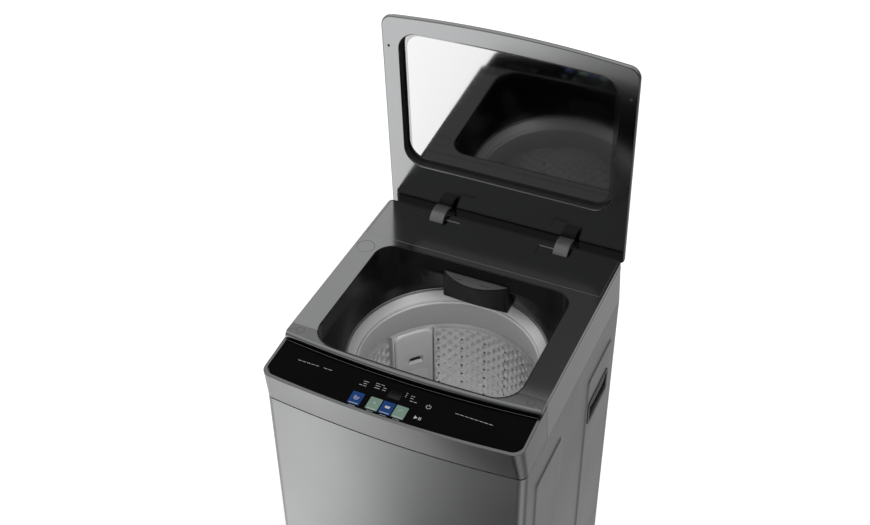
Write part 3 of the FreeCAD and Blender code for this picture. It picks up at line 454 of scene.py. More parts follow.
# ---- Camera, floor and light -------------------------------------------------------
def make_camera():
    azimuth, elevation, roll = 0.433083, 0.692684, -0.012538
    back = Vector((
        math.sin(azimuth) * math.cos(elevation), -math.cos(azimuth) * math.cos(elevation),
        math.sin(elevation),
    ))
    right = Vector((math.cos(azimuth), math.sin(azimuth), 0))
    up = back.cross(right)
    across = right * math.cos(roll) + up * math.sin(roll)
    upward = up * math.cos(roll) - right * math.sin(roll)
    data = bpy.data.cameras.new("camera")
    data.sensor_width = 36.0
    data.lens = 53.17
    data.clip_end = 50
    camera = bpy.data.objects.new("camera", data)
    camera.matrix_world = Matrix.Translation((0.85360, -1.92392, 2.85254)) @ Matrix((
        (across.x, upward.x, back.x, 0), (across.y, upward.y, back.y, 0),
        (across.z, upward.z, back.z, 0), (0, 0, 0, 1),
    ))
    bpy.context.scene.collection.objects.link(camera)
    bpy.context.scene.camera = camera


def make_floor():
    mesh = bpy.data.meshes.new("floor")
    size = 30.0
    corners = [(-size, -size, 0), (size, -size, 0), (size, size, 0), (-size, size, 0)]
    mesh.from_pydata(corners, [], [(0, 1, 2, 3)])
    floor = bpy.data.objects.new("floor", mesh)
    floor.location.z = -0.0005
    mesh.materials.append(M["floor"])
    bpy.context.scene.collection.objects.link(floor)
    floor.visible_glossy = False


def area_light(name, place, aim, width, height, power, glossy=False):
    data = bpy.data.lights.new(name, "AREA")
    data.shape = "RECTANGLE"
    data.size, data.size_y = width, height
    data.energy = power
    light = bpy.data.objects.new(name, data)
    light.location = place
    light.rotation_euler = (Vector(aim) - Vector(place)).to_track_quat("-Z", "Y").to_euler()
    light.visible_glossy = glossy
    light.visible_camera = False
    bpy.context.scene.collection.objects.link(light)


WORLD_PEAK = 6.0


def make_world():
    """Plain white to the eye; what the object mirrors is lighter at its left than at its front."""
    world = bpy.data.worlds.new("studio")
    bpy.context.scene.world = world
    world.use_nodes = True
    tree = world.node_tree
    link = tree.links.new
    place = tree.nodes.new("ShaderNodeTexCoord")
    apart = tree.nodes.new("ShaderNodeSeparateXYZ")
    link(place.outputs["Generated"], apart.inputs[0])

    def maths(kind, *values):
        node = tree.nodes.new("ShaderNodeMath")
        node.operation = kind
        for socket, value in zip(node.inputs, values):
            if isinstance(value, (int, float)):
                socket.default_value = value
            else:
                link(value, socket)
        return node.outputs[0]

    # azimuth from the front, positive to the right; the white side shifts as rays point further down
    front = maths("MULTIPLY", apart.outputs["Y"], -1.0)
    azimuth = maths("ARCTAN2", apart.outputs["X"], front)
    down = maths("ARCSINE", maths("MULTIPLY", apart.outputs["Z"], -1.0))
    shift = maths("MINIMUM", maths("MAXIMUM", maths("SUBTRACT", down, math.radians(30)), 0.0), 0.52)
    turn = maths("MULTIPLY_ADD", shift, 0.8, azimuth)

    def ramp(factor, ends, shades):
        node = tree.nodes.new("ShaderNodeValToRGB")
        link(factor, node.inputs["Fac"])
        stops = node.color_ramp.elements
        stops[0].color = stops[1].color = grey(ends) + (1,)
        for position, value in shades:
            stops.new(position).color = grey(value) + (1,)
        return node.outputs["Color"]

    def around(behind, shades):
        return ramp(
            maths("MULTIPLY_ADD", turn, 0.5 / math.pi, 0.5), behind / WORLD_PEAK,
            [(0.5 + angle / 360, value / WORLD_PEAK) for angle, value in shades],
        )

    below = around(0.6, [
        (-90, 1.2), (-50, 2.2), (-38, 4.0), (-25, 4.8), (-18, 4.2), (-13, 1.6), (-8, 0.7), (0, 0.45),
        (10, 0.4), (40, 0.7), (70, 2.4), (85, 2.2), (120, 0.6),
    ])
    above = around(2.3, [
        (-155, 2.3), (-90, 2.4), (-45, 2.0), (0, 1.3), (45, 1.4), (90, 1.5), (155, 1.7),
    ])
    height = tree.nodes.new("ShaderNodeMapRange")
    link(apart.outputs["Z"], height.inputs["Value"])
    height.inputs["From Min"].default_value = -0.05
    height.inputs["From Max"].default_value = 0.05

    def dimmed(light, factor, ends, shades):
        """Light multiplied by a ramp over degrees from the horizon."""
        dimmer = ramp(factor, ends, [(degrees / 90, value) for degrees, value in shades])
        return mixed(tree, 1.0, light, dimmer, "MULTIPLY")

    below = dimmed(
        below, maths("MULTIPLY", down, 2 / math.pi), 0.42, [(21, 0.42), (27, 1.0), (56, 1.0), (68, 0.42)],
    )
    above = dimmed(
        above, maths("MULTIPLY", down, -2 / math.pi), 1.0, [(0.1, 0.3), (14, 0.3), (32, 1.0)],
    )
    mirrored = mixed(tree, height.outputs["Result"], below, above)
    path = tree.nodes.new("ShaderNodeLightPath")
    plain = grey(0.93 / WORLD_PEAK) + (1,)
    background = tree.nodes["Background"]
    link(mixed(tree, path.outputs["Is Glossy Ray"], plain, mirrored), background.inputs["Color"])
    background.inputs["Strength"].default_value = WORLD_PEAK
    bpy.context.scene.view_settings.view_transform = "Standard"


make_camera()
make_floor()
make_world()
area_light("key", (-2.2, -1.4, 3.2), (0, 0, 0.7), 1.6, 1.6, 6)
area_light("drum", (0, -0.02, 0.87), (0, -0.01, 0), 0.32, 0.32, 0.75, glossy=True)


# ---- Cabinet --------------------------------------------------------------------------
SWAGE_Z = (168.0, 788.0)
SWAGES = [(REAR_Y - 551.0, REAR_Y - 383.0), (REAR_Y - 218.0, REAR_Y - 42.0)]
SWAGE_RISE = 3.0
POCKET_Y = (REAR_Y - 198.0, REAR_Y - 67.0)
POCKET_Z = (636.0, 700.0)


def ruled(low, high, near=(), exact=(), fine=3.0, reach=15.0, coarse=26.0):
    """Grid lines from low to high, close together near the given values."""
    marks = {low, high, *exact}
    for middle in near:
        marks |= {middle + k * fine for k in range(-int(reach / fine), int(reach / fine) + 1)}
    kept = []
    for m in sorted(v for v in marks if low <= v <= high):
        if kept and m - kept[-1] < 1.2:
            if m in exact or m == high:
                kept[-1] = m
            continue
        kept.append(m)
    out = [kept[0]]
    for a, b in zip(kept, kept[1:]):
        steps = max(1, math.ceil((b - a) / coarse))
        out += [a + (b - a) * k / steps for k in range(1, steps + 1)]
    return out


def pressed(u, v, field, corner=18.0, bevel=9.0):
    """0 outside a pressed field, 1 on it, smooth across its bevel."""
    (u0, u1), (v0, v1) = field
    du = abs(u - (u0 + u1) / 2) - (u1 - u0) / 2 + corner
    dv = abs(v - (v0 + v1) / 2) - (v1 - v0) / 2 + corner
    outside = math.hypot(max(du, 0), max(dv, 0)) + min(max(du, dv), 0) - corner
    t = min(1.0, max(0.0, -outside / bevel))
    return t * t * (3 - 2 * t)


def cabinet_shell():
    r = 20.0
    edge = FRONT_Y - BOW * (1 - ((HALF - r) / HALF) ** 2)
    half = []
    for k in range(41):
        x = (HALF - r) * k / 40
        half.append((x, FRONT_Y - BOW * (1 - (x / HALF) ** 2)))
    for k in range(1, 12):
        a = math.radians(-90 + 90 * k / 12)
        half.append((HALF - r + r * math.cos(a), edge + r + r * math.sin(a)))
    near = [v + s for y0, y1 in SWAGES for v, s in ((y0, 8), (y1, -8))]
    half += [(HALF, y) for y in ruled(edge + r, REAR_Y - 10, near, POCKET_Y)]
    for k in range(1, 9):
        a = math.radians(90 * k / 8)
        half.append((HALF - 10 + 10 * math.cos(a), REAR_Y - 10 + 10 * math.sin(a)))
    half.append((272, REAR_Y))
    path = [(-x, y) for x, y in half[:0:-1]] + half
    heights = ruled(31, SEAM_Z - 2.6, [SWAGE_Z[0] + 8, SWAGE_Z[1] - 8], POCKET_Z)
    loops = []
    for z in heights:
        loop = []
        for x, y in path:
            lift = 0.0
            if abs(x) == HALF:
                lift = SWAGE_RISE * max(pressed(y, z, (field, SWAGE_Z)) for field in SWAGES)
            loop.append(Vector((math.copysign(abs(x) + lift, x), y, z)))
        loops.append(loop)
    loops.append([Vector((p.x * 0.997, p.y * 0.997, SEAM_Z - 2.0)) for p in loops[-1]])
    loops.append([Vector((p.x * 0.97, p.y * 0.97, SEAM_Z - 2.0)) for p in loops[-1]])
    verts, faces = stack(loops, wrap=False)

    def in_pocket(face):
        centre = sum((verts[i] for i in face), Vector()) / 4
        beside = abs(centre.x) > HALF - 1
        return beside and POCKET_Y[0] < centre.y < POCKET_Y[1] and POCKET_Z[0] < centre.z < POCKET_Z[1]

    faces = [f for f in faces if not in_pocket(f)]
    piece(
        "cabinet_wrap", (verts, faces), "cabinet", "cabinet_paint",
        ["cabinet_shell"], solid=1.2,
    )


def rear_panel():
    fields = [((-225.0, 225.0), (170.0, 400.0)), ((-225.0, 225.0), (440.0, 740.0))]
    near_x = [v for field, _ in fields[:1] for v in (field[0] + 5, field[1] - 5)]
    near_z = [v for _, field in fields for v in (field[0] + 5, field[1] - 5)]
    xs = ruled(-284, 284, near_x, coarse=40)
    loops = []
    for z in ruled(50, 860, near_z, coarse=40):
        row = []
        for x in xs:
            lift = 2.4 * max(pressed(x, z, f, 24, 10) for f in fields)
            row.append(Vector((x, REAR_Y + 1.3 + lift, z)))
        loops.append(row)
    piece(
        "rear_sheet", stack(loops, wrap=False), "cabinet", "zinc_steel",
        ["rear_panel"], solid=1.2, facing=Vector((0, 1, 0)),
    )


def handle(side):
    y0, y1 = POCKET_Y
    z0, z1 = POCKET_Z

    def rim(inset):
        r = 9.0 - min(inset, 6)
        corners = [(y0 + inset, z0 + inset, r), (y1 - inset, z0 + inset, r)]
        corners += [(y1 - inset, z1 - inset, r), (y0 + inset, z1 - inset, r)]
        return fillet(corners, n=6, cuts=8)

    profile = [
        (-5, 303.1), (-5, 304.2), (-4.6, 304.8), (-3.6, 305.1), (0.5, 305.1), (1.6, 304.8),
        (2.4, 304.0), (2.8, 302.6), (3, 298), (3.4, 274), (5, 269.5), (8, 267.6),
    ]
    loops = [[Vector((x, p.x, p.y)) for p in rim(inset)] for inset, x in profile]
    verts, faces = stack(loops)
    faces.append(tuple(range(len(verts) - len(loops[0]), len(verts))))
    cup = (verts, faces)
    bars = []
    for k in range(25):
        t = k / 24 * 2 - 1
        size = (1 - 0.35 * abs(t) ** 6) * (1 - 0.1 * t * t)
        y = (y0 + y1) / 2 + t * ((y1 - y0) / 2 - 3.2)
        bars.append([
            Vector((
                293.5 + 11.2 * size * math.cos(a), y, 683.5 + 13.5 * size * math.sin(a),
            ))
            for a in (math.tau * j / 24 for j in range(24))
        ])
    grip = stack(bars, cap=True)
    if side == "left":
        cup, grip = moved(cup, MIRROR), moved(grip, MIRROR)
    outward = Vector((-1 if side == "left" else 1, 0, 0))
    piece(
        f"handle_{side}_cup", cup, "cabinet", "black_plastic",
        [f"carry_handle_{side}"], solid=1.4, facing=outward,
    )
    piece(f"handle_{side}_grip", grip, "cabinet", "black_plastic")


cabinet_shell()
rear_panel()
handle("right")
handle("left")
finish_node("panel_screws", "screw_steel", 0.4)
finish_node("base_frame", "dark_plastic", 1.0)
finish_node("fixed_feet", "rubber", 1.5)
finish_node("adjustable_foot", "rubber", 0.6)


# ---- Top cover and control panel ---------------------------------------------------------
KEY_W = 27.0
KEY_D = 33.0
KEY_Y = PANEL_TOP_Y - 92.0
KEY_RISE = 0.3
CAP_X = 266.0
SCREW_CAP_Y = REAR_Y - 501.0
SCREW_CAP_R = 8.9
PLUG_Y = REAR_Y - 187.0
PLUG_R = 21.1


def panel_loop(inset):
    """The black panel's outline, drawn level; both long edges bow out like the cabinet."""
    h, top, low = PANEL_HALF - inset, PANEL_TOP_Y - inset, PANEL_TOP_Y - PANEL_DEPTH + inset
    r = 24 - inset
    loop = fillet([(-h, top, 2), (h, top, 2), (h, low, r), (-h, low, r)], n=8, cuts=30)
    for p in loop:
        p.y -= BOW * (1 - (p.x / HALF) ** 2)
    return loop


def control_glass():
    z = PANEL_TOP_Z
    profile = [(0, z - 3), (0, z - 1.0), (0.12, z - 0.6), (0.4, z - 0.2), (0.9, z)]
    loops = rise(panel_loop, profile)
    part = moved(stack(loops, cap=True), TILT)
    piece("panel_glass", part, "cabinet", "black_glass", ["control_glass"])


def tablet(x, y, w, d, z0, z1, r=2.0):
    """A small slab with rounded corners and a softened top edge, drawn level."""
    def rim(i):
        a, b = w / 2 - i, d / 2 - i
        return fillet([(x - a, y - b, r), (x + a, y - b, r), (x + a, y + b, r), (x - a, y + b, r)], n=4)
    soft = min(0.25, (z1 - z0) / 2)
    return stack(rise(rim, [(0, z0), (0, z1 - soft), (soft * 0.3, z1 - soft * 0.3), (soft, z1)]), cap=True)


def arc_mark(x, y, r, width, start, end, z0, z1, steps=20):
    """A printed arc or ring, drawn level."""
    loops = []
    for k in range(steps + 1):
        a = math.radians(start + (end - start) * k / steps)
        u = Vector((math.cos(a), math.sin(a)))
        loops.append([
            Vector((x + u.x * q, y + u.y * q, z))
            for q, z in ((r - width / 2, z0), (r + width / 2, z0), (r + width / 2, z1), (r - width / 2, z1))
        ])
    return stack(loops, cap=True)


def wedge_mark(points, z0, z1):
    loop = [Vector(p) for p in points]
    return stack([level(loop, z0), level(loop, z1)], cap=True)


def touch_keys():
    z = PANEL_TOP_Z
    for colour, places in (("blue", (-75.0, -4.5)), ("green", (-34.0, 25.0))):
        caps = [tablet(x, KEY_Y, KEY_W, KEY_D, z - 0.8, z + KEY_RISE) for x in places]
        piece(
            f"keys_{colour}", moved(together(caps), TILT), "cabinet",
            f"{colour}_key", [f"touch_keys_{colour}"],
        )


def print_marks():
    """Generic marks: plain bars for words, and common key symbols."""
    low, high = PANEL_TOP_Z + 0.01, PANEL_TOP_Z + 0.08
    marks = []

    def bar(x, y, w, d=1.6, lift=0.0):
        marks.append(tablet(x, y, w, d, low + lift, high + lift, r=0.3))

    for x in (-75.0, -34.0, -4.5, 25.0):
        bar(x, KEY_Y - 13.6, 21, 1.6, KEY_RISE)
        bar(x, KEY_Y - 20.2, 15, 0.8)
    for x, y, w in LABELS:
        words = max(1, round(w / 11))
        for k in range(words):
            span = w / words
            bar(x - w / 2 + span * (k + 0.5), y, span * 0.78, 1.1)
    marks.append(arc_mark(73, -275.5, 5.0, 1.1, 125, 415, low, high))
    bar(73, -271.5, 1.2, 5.5)
    marks.append(wedge_mark([(57, -315), (57, -306), (64.5, -310.5)], low, high))
    bar(67.4, -310.5, 1.7, 8)
    bar(70.8, -310.5, 1.7, 8)
    faces = (low + KEY_RISE, high + KEY_RISE)
    tub = [(-9, KEY_Y - 1), (0, KEY_Y - 1), (1.5, KEY_Y + 5), (-10.5, KEY_Y + 5)]
    marks += [
        arc_mark(-75, KEY_Y + 2, 5.2, 1.3, 110, 390, *faces),
        arc_mark(-75, KEY_Y + 2, 1.6, 1.4, 0, 359, *faces, 12),
        arc_mark(-34, KEY_Y + 3, 1.2, 1.8, 0, 359, *faces, 12),
        wedge_mark(tub, *faces),
        arc_mark(25, KEY_Y + 1, 4.5, 1.2, 40, 170, *faces),
    ]
    part = moved(together(marks), TILT)
    piece("panel_print", part, "cabinet", "white_plastic", finish="print_white")


LABELS = [
    (-212, -262, 52), (-166, -262, 22), (-75, -262, 16), (-75, -268, 10), (-78, -274, 18),
    (-44, -258, 22), (-47, -264, 14), (-31, -264, 9), (-47, -270, 16), (-31, -270, 10),
    (32, -262, 11), (32, -268, 9), (38, -275, 18), (18, -259, 4), (18, -264, 4), (18, -269, 4),
    (171, -270, 84),
]

def fascia_roll():
    """The rounded strip between the deck's front edge and the black panel."""
    section = [(-0.6, DECK_Z - 6)]
    for k in range(13):
        a = math.radians(90 * k / 12)
        section.append((ROLL_DEPTH * math.sin(a), DECK_Z - 0.3 - ROLL_DROP * (1 - math.cos(a))))
    section += [(ROLL_DEPTH - 1.0, DECK_Z - 1.3 - ROLL_DROP), (-0.6, DECK_Z - 1.3 - ROLL_DROP)]
    loops = []
    for k in range(61):
        x = (DECK_HALF - 1.5) * (k / 30 - 1)
        edge = DECK_FRONT_Y - BOW * (1 - (x / HALF) ** 2)
        loops.append([Vector((x, edge - out, z)) for out, z in section])
    piece("fascia_roll", stack(loops, cap=True), "cabinet", "cover_paint")


def deck_gap_shade():
    """Painted shade: black rings round the deck's round caps and black bars along the fascia's own strip,
    standing in for the shadow in joints too narrow to show it.
    """
    low, high = DECK_Z - 0.4, DECK_Z + 0.03
    gap_shade_marks = []
    for side in (-1, 1):
        gap_shade_marks.append(arc_mark(side * CAP_X, SCREW_CAP_Y, SCREW_CAP_R, 0.7, 0, 359.9, low, high, 48))
        gap_shade_marks.append(tablet(side * 260.3, STRIP_Y - 0.15, 65.0, 0.8, low, high, 0.2))
    gap_shade_marks.append(arc_mark(-CAP_X, PLUG_Y, PLUG_R, 0.8, 0, 359.9, low, high, 72))
    piece("deck_gap_shade", together(gap_shade_marks), "cabinet", "black_plastic")


fascia_roll()
deck_gap_shade()
finish_node("top_cover", "cover_paint")
finish_node("rear_deck_cover", "cover_paint", 0.8)
finish_node("deck_plug", "cover_paint", 0.8)
finish_node("screw_caps", "fascia_paint", 0.7)
finish_node("control_bezel", "fascia_paint", 0.9)
control_glass()
touch_keys()
print_marks()
finish_node("display_window", "display", 0.2)
finish_node("control_housing", "white_plastic")
finish_node("control_board", "circuit")


# ---- Basin and dispenser ---------------------------------------------------------------
DRAWER_HALF = 81.0
DRAWER_Z = (872.0, 948.0)
DRAWER_BULGE = 34.0
DRAWER_LOW_BULGE = 5.0
DRAWER_BACK = REAR_Y - 70.0
BEND_Z = 933.0
LIP_Z = 849.0
LIP_R = 230.0


def opening(grow):
    bow = BOW * (OPEN_HALF / HALF) ** 2
    return plan(
        OPEN_HALF + grow, OPEN_FRONT - grow, OPEN_REAR + grow, 58 + grow, 45 + grow, bow, cuts=24, n=12,
    )


def basin():
    def row(grow, z, out=0.0):
        t = (BEND_Z - z) / (BEND_Z - LIP_Z)
        share = min(1.0, (t + math.sqrt(t * t + 0.004)) / 2) if z > LIP_Z else 1.0
        loop = []
        for p in opening(grow):
            a = math.atan2(p.y - DRUM_Y, p.x)
            circle = Vector((math.cos(a), math.sin(a))) * (LIP_R + grow + out) + Vector((0, DRUM_Y))
            q = p.lerp(circle, share)
            loop.append(Vector((q.x, q.y, z)))
        return loop

    heights = [977.6, 975, 968, 958, 950, 944, 939, 935, 931, 927, 922, 914, 904, 892, 880, 868, 858, 852]
    loops = [row(1.2, 978.2)] + [row(0, z) for z in heights]
    loops += [row(0, LIP_Z), row(0.4, LIP_Z - 1.4), row(1.6, LIP_Z - 2.0), row(2.5, LIP_Z - 1.2)]
    loops += [row(2.5, z) for z in heights[::-1]]
    basin = piece("basin_liner", stack(loops, ring=True), "cabinet", "basin_black", ["basin"])
    # Painted highlight: a light grey ring on the black basin's rolled lip stands in for the bright glint
    # along that lip.
    lip_glint_ring = lathe(fillet([
        (LIP_R - 0.6, LIP_Z + 0.6, 0.6), (LIP_R + 1.4, LIP_Z + 0.6, 0.6), (LIP_R + 1.4, LIP_Z - 1.0, 0.6),
        (LIP_R - 0.6, LIP_Z - 1.0, 0.6),
    ], n=4), 180)
    piece("basin_lip_highlight", stack(lip_glint_ring, ring=True), "cabinet", "ring_plastic")
    carve(basin, [(-82, 82, OPEN_REAR - 60, OPEN_REAR + 60, DRAWER_Z[0] - 1, DRAWER_Z[1] + 1)])


def drawer_loop(inset, bulge, front=OPEN_REAR - 2.0, back=DRAWER_BACK):
    h = DRAWER_HALF - inset
    loop = [Vector((-h + 2 * h * k / 12, back - inset)) for k in range(13)]
    loop += [Vector((h, front + (back - front) * (1 - k / 6) - inset * (1 - k / 6))) for k in range(1, 6)]
    for k in range(33):
        x = h * (1 - k / 16)
        loop.append(Vector((x, front - (bulge - inset) * (1 - (x / h) ** 2))))
    loop += [Vector((-h, front + (back - front) * k / 6 - inset * k / 6)) for k in range(1, 6)]
    return loop


def dispenser():
    z0, z1 = DRAWER_Z
    loops = []
    for inset, z in (
        (2.5, z0), (0.8, z0 + 0.8), (0, z0 + 3), (0, z1 - 4), (0.3, z1 - 2), (1.2, z1 - 0.6), (2.6, z1),
    ):
        share = (z - z0) / (z1 - z0)
        bulge = DRAWER_LOW_BULGE + (DRAWER_BULGE - DRAWER_LOW_BULGE) * share
        loops.append(level(drawer_loop(inset, bulge), z))
    drawer = piece(
        "dispenser_drawer_body", stack(loops, cap=True), "drawer", "dispenser_grey",
        ["dispenser_drawer"],
    )
    h, front, back = DRAWER_HALF, OPEN_REAR + 4.0, DRAWER_BACK - 2.5
    carve(drawer, [
        (-h + 2.5, -2, front, back, z0 + 20, z1 + 5),
        (2, h - 2.5, front, back, z0 + 20, z1 + 5),
        (-h + 2.5, h - 2.5, front, back, z0 - 5, z0 + 17),
    ])
    # Painted highlight: the drawer's top rim is a thin slab in a lighter copy of the drawer's grey, for the
    # light falling on its top face.
    top = [p for p in drawer_loop(2.8, DRAWER_BULGE) if p.y <= OPEN_REAR - 1.9]
    rim = [level(top, z) for z in (z1 - 0.2, z1 + 0.3)]
    crescent = stack(rim, cap=True)
    piece("dispenser_top", crescent, "drawer", "dispenser_grey", finish="crescent_lit_grey", bevel=0.2)
    marks = []
    for x in (-34, 34):
        marks.append(tablet(x, 126, 13, 2.2, z1 + 0.28, z1 + 0.36, 0.4))
        marks.append(arc_mark(x - 11, 126, 1.2, 2.2, 0, 359, z1 + 0.28, z1 + 0.36, 10))
    piece("dispenser_marks", together(marks), "drawer", "dispenser_grey", finish="print_grey")


basin()
dispenser()
finish_node("dispenser_housing", "dark_plastic", 0.8)
finish_node("inlet_valve", "white_plastic")
finish_node("inlet_duct", "hose_black", 0.6)


# ---- Wash tub, basket and pulsator --------------------------------------------------------
def turned(name, points, body, slot, stands_for, steps=160):
    """A closed, filleted profile of (radius, height, corner radius) turned about the drum's axis."""
    loops = lathe(fillet(points, n=4), steps)
    piece(name, stack(loops, ring=True), body, slot, stands_for)


def tub_cover():
    top = RING_TOP + 1
    turned("tub_cover_ring", [
        (234, top, 1.2), (256.5, top, 2.5), (256.5, 788, 0.6), (253.8, 788, 0.6),
        (253.8, TUB_TOP + 0.2, 0.5), (TUB_R, TUB_TOP + 0.2, 0.5), (TUB_R, 843, 1.5), (237, 843, 0.6),
        (237, 832, 0.6), (234, 832, 0.6),
    ], "tub", "tub_plastic", ["tub_cover"])


def balance_ring():
    top, low = RING_TOP, RING_BOTTOM + 0.1
    turned("balance_ring_body", [
        (RING_R, low, 0.5), (RING_R, top - 2, 0.8), (RING_R - 2, top, 1), (226, top, 1.5),
        (210.6, top - 17.0, 0.5), (211.6, top - 18.6, 0.4), (210.2, top - 20.2, 0.5),
        (207.8, top - 19.6, 1.0),
        (205, top - 23.5, 1.6), (205, top - 26, 1.0), (207.5, top - 29, 1.0), (219.5, low, 0.5),
    ], "basket", "ring_plastic", ["balance_ring"], steps=180)


HOLE_ROWS = 29.0
TOP_HOLES = 690.0


def basket():
    """Rolled sheet with a column of holes every 15 degrees and raised diamonds between them."""
    columns = 384
    pitch = HOLE_ROWS / 8
    cell = math.tau / columns * BASKET_R
    first = TOP_HOLES - math.floor((TOP_HOLES - BASKET_FLOOR) / pitch) * pitch
    heights = [BASKET_FLOOR] + [first + pitch * k for k in range(int((RING_BOTTOM - 1 - first) / pitch) + 1)]
    heights.append(RING_BOTTOM)
    half_window = math.degrees(FILTER_W / 2 / BASKET_R)

    def row_of(z):
        return (z - TOP_HOLES) / pitch

    def spot(j, z):
        angle = 360.0 * j / columns
        row = round(row_of(z))
        lift = 0.0
        on_grid = abs(row_of(z) - row) < 1e-6 and z < 722
        if on_grid:
            column = round(j / 4)
            shift = 0 if column % 2 else 4
            du = (j - 4 * column) * cell
            dv = ((row + shift + 4) % 8 - 4) * pitch
            across, along = min(1.0, abs(du) / 6.4), min(1.0, abs(dv) / 10.8)
            lift = 2.8 * (math.cos(across * math.pi / 2) * math.cos(along * math.pi / 2)) ** 2
        if abs(z - 727) < 2.5:
            lift = 0.9
        a, shift_z = angle, 0.0
        if on_grid:
            near_j, near_r = round(j / 16) * 16, round(row / 8) * 8
            dj, dr = j - near_j, row - near_r
            if (dj or dr) and abs(dj) <= 1 and abs(dr) <= 1 and near_r <= 0 and z > BASKET_FLOOR + 12:
                size = 3.1 / math.hypot(dj, dr)
                a = 360.0 * near_j / columns + math.degrees(dj * size / BASKET_R)
                shift_z = (near_r * pitch + dr * size) - row * pitch
        a = math.radians(a)
        r = BASKET_R - lift
        return Vector((r * math.cos(a), DRUM_Y + r * math.sin(a), z + shift_z))

    verts = [spot(j, z) for z in heights for j in range(columns)]
    faces = []
    for i in range(len(heights) - 1):
        for j in range(columns):
            angle = 360.0 * (j + 0.5) / columns
            z = (heights[i] + heights[i + 1]) / 2
            if abs(angle - FILTER_ANGLE) < half_window and FILTER_Z[0] + 10 < z < FILTER_Z[1] - 10:
                continue
            corners = [(i, j), (i, (j + 1) % columns), (i + 1, (j + 1) % columns), (i + 1, j)]
            holed = False
            for p, q in corners:
                row = row_of(heights[p])
                exact = abs(row - round(row)) < 1e-6
                if exact and q % 16 == 0 and round(row) % 8 == 0 and row <= 0.1:
                    holed = holed or heights[p] > BASKET_FLOOR + 12
            if not holed:
                faces.append(tuple(p * columns + q for p, q in corners))
    piece(
        "basket_wall", (verts, faces), "basket", "stainless", ["basket"], crease=60,
        solid=0.8, facing=Vector((-1, 0, 0)),
    )
    loops = lathe(fillet([
        (60, BASKET_FLOOR, 0.3), (BASKET_R, BASKET_FLOOR, 0.4), (BASKET_R, BASKET_FLOOR + 5, 0.4),
        (BASKET_R - 4, BASKET_FLOOR + 1.2, 2.5), (60, BASKET_FLOOR + 1.2, 0.3),
    ], n=3), 160)
    piece("basket_floor", stack(loops, ring=True), "basket", "stainless", finish="floor_steel")


def pulsator():
    """A dished disc with six smooth vanes rising to a hub."""
    dish = [
        (0, 436), (16, 437), (34, 435), (48, 427), (90, 414), (150, 410), (176, 409), (184, 407), (186, 404),
    ]
    radii = [12.5, 14, 17, 22, 28, 34, 40, 44, 48, 52] + [56 + 5.5 * k for k in range(21)] + [
        172, 177, 181, 183.5, 185.2, 186,
    ]

    def base(r):
        for (r0, z0), (r1, z1) in zip(dish, dish[1:]):
            if r <= r1:
                t = (r - r0) / (r1 - r0)
                return z0 + (z1 - z0) * t
        return dish[-1][1]

    def vane(r, a):
        if not 38 < r < 174:
            return 0.0
        along = (r - 38) / 136
        rise_by = 17 * (1 - along) ** 0.8 * min(1.0, along * 7) + 3.5 * min(1.0, (1 - along) * 6)
        nearest = round((a - 10) / 60) * 60 + 10
        off = abs(math.radians(a - nearest)) * r / (9 + 9 * along)
        return rise_by * (0.5 + 0.5 * math.cos(math.pi * min(1.0, off))) if off < 1 else 0.0

    steps = 288
    loops = []
    for r in radii:
        loops.append([
            Vector((
                r * math.cos(math.radians(a)), DRUM_Y + r * math.sin(math.radians(a)), base(r) + vane(r, a),
            ))
            for a in (360.0 * k / steps for k in range(steps))
        ])
    loops.append([Vector((p.x * 184 / 186, DRUM_Y + (p.y - DRUM_Y) * 184 / 186, 401)) for p in loops[-1]])
    loops.append([Vector((p.x * 12.5 / 184, DRUM_Y + (p.y - DRUM_Y) * 12.5 / 184, 401)) for p in loops[-1]])
    piece(
        "pulsator_disc", stack(loops, ring=True), "pulsator", "pulsator_grey", ["pulsator"],
    )


def springs():
    coils, steps, wire = 7, 24, 2.0
    parts = []
    for x in (-255.0, 255.0):
        for y in (DRUM_Y - 238.0, DRUM_Y + 238.0):
            loops = []
            for k in range(coils * steps + 1):
                a = math.tau * k / steps
                z = 354.2 + (446.0 - 354.2 - 2.2) * k / (coils * steps)
                out = Vector((math.cos(a), math.sin(a), 0))
                middle = Vector((x, y, z)) + out * 14.8
                loops.append([
                    middle + out * wire * math.cos(b) + Vector((0, 0, wire * math.sin(b)))
                    for b in (math.tau * m / 10 for m in range(10))
                ])
            parts.append(stack(loops, cap=True))
    coil = piece(
        "spring_coils", together(parts), "cabinet", "spring_steel", ["suspension_springs"],
    )
    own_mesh(coil)


def lint_filter():
    """A satin cover with a rounded top, a thumb slot and ribs below it."""
    half, (z0, z1) = FILTER_W / 2, FILTER_Z
    middle = (z0 + z1) / 2

    def depth(x, z):
        r = 24.0 if z > middle else 8.0
        dx, dz = abs(x) - half + r, abs(z - middle) - (z1 - z0) / 2 + r
        inside = r - math.hypot(max(dx, 0), max(dz, 0)) - min(max(dx, dz), 0)
        roll = min(1.0, max(0.0, inside / 7.0))
        sunk = 6.5 * (1 - math.sqrt(1 - (1 - roll) ** 2))
        slot = min(1.0, max(0.0, min(x + 14, 24 - x, z - 636, 656 - z) / 2.0))
        rib = 0.0
        if abs(x) < half - 12 and z0 + 18 < z < 616:
            fade = min(1.0, (half - 12 - abs(x)) / 3)
            rib = 3.0 * fade * ((z - z0) / 12 % 1)
        return sunk + 6.0 * slot + rib

    xs = [-half + FILTER_W * k / 80 for k in range(81)]
    zs = [z0 + (z1 - z0) * k / 216 for k in range(217)]
    loops = []
    for z in zs:
        row = []
        for x in xs:
            r = 208.6 + depth(x, z)
            a = x / 215
            row.append(TO_FILTER @ Vector((r * math.sin(a), r * math.cos(a), z)))
        loops.append(row)
    verts, faces = stack(loops, wrap=False)
    per_row = len(xs)
    faces = [
        f for f in faces
        if not (-10 < xs[f[0] % per_row] < 19 and 639 < zs[f[0] // per_row] < 651)
    ]
    inward = -(TO_FILTER.to_3x3() @ Vector((0, 1, 0)))
    piece(
        "lint_filter_cover", (verts, faces), "lint_filter", "filter_grey",
        ["lint_filter"], crease=50, solid=1.4, facing=inward,
    )


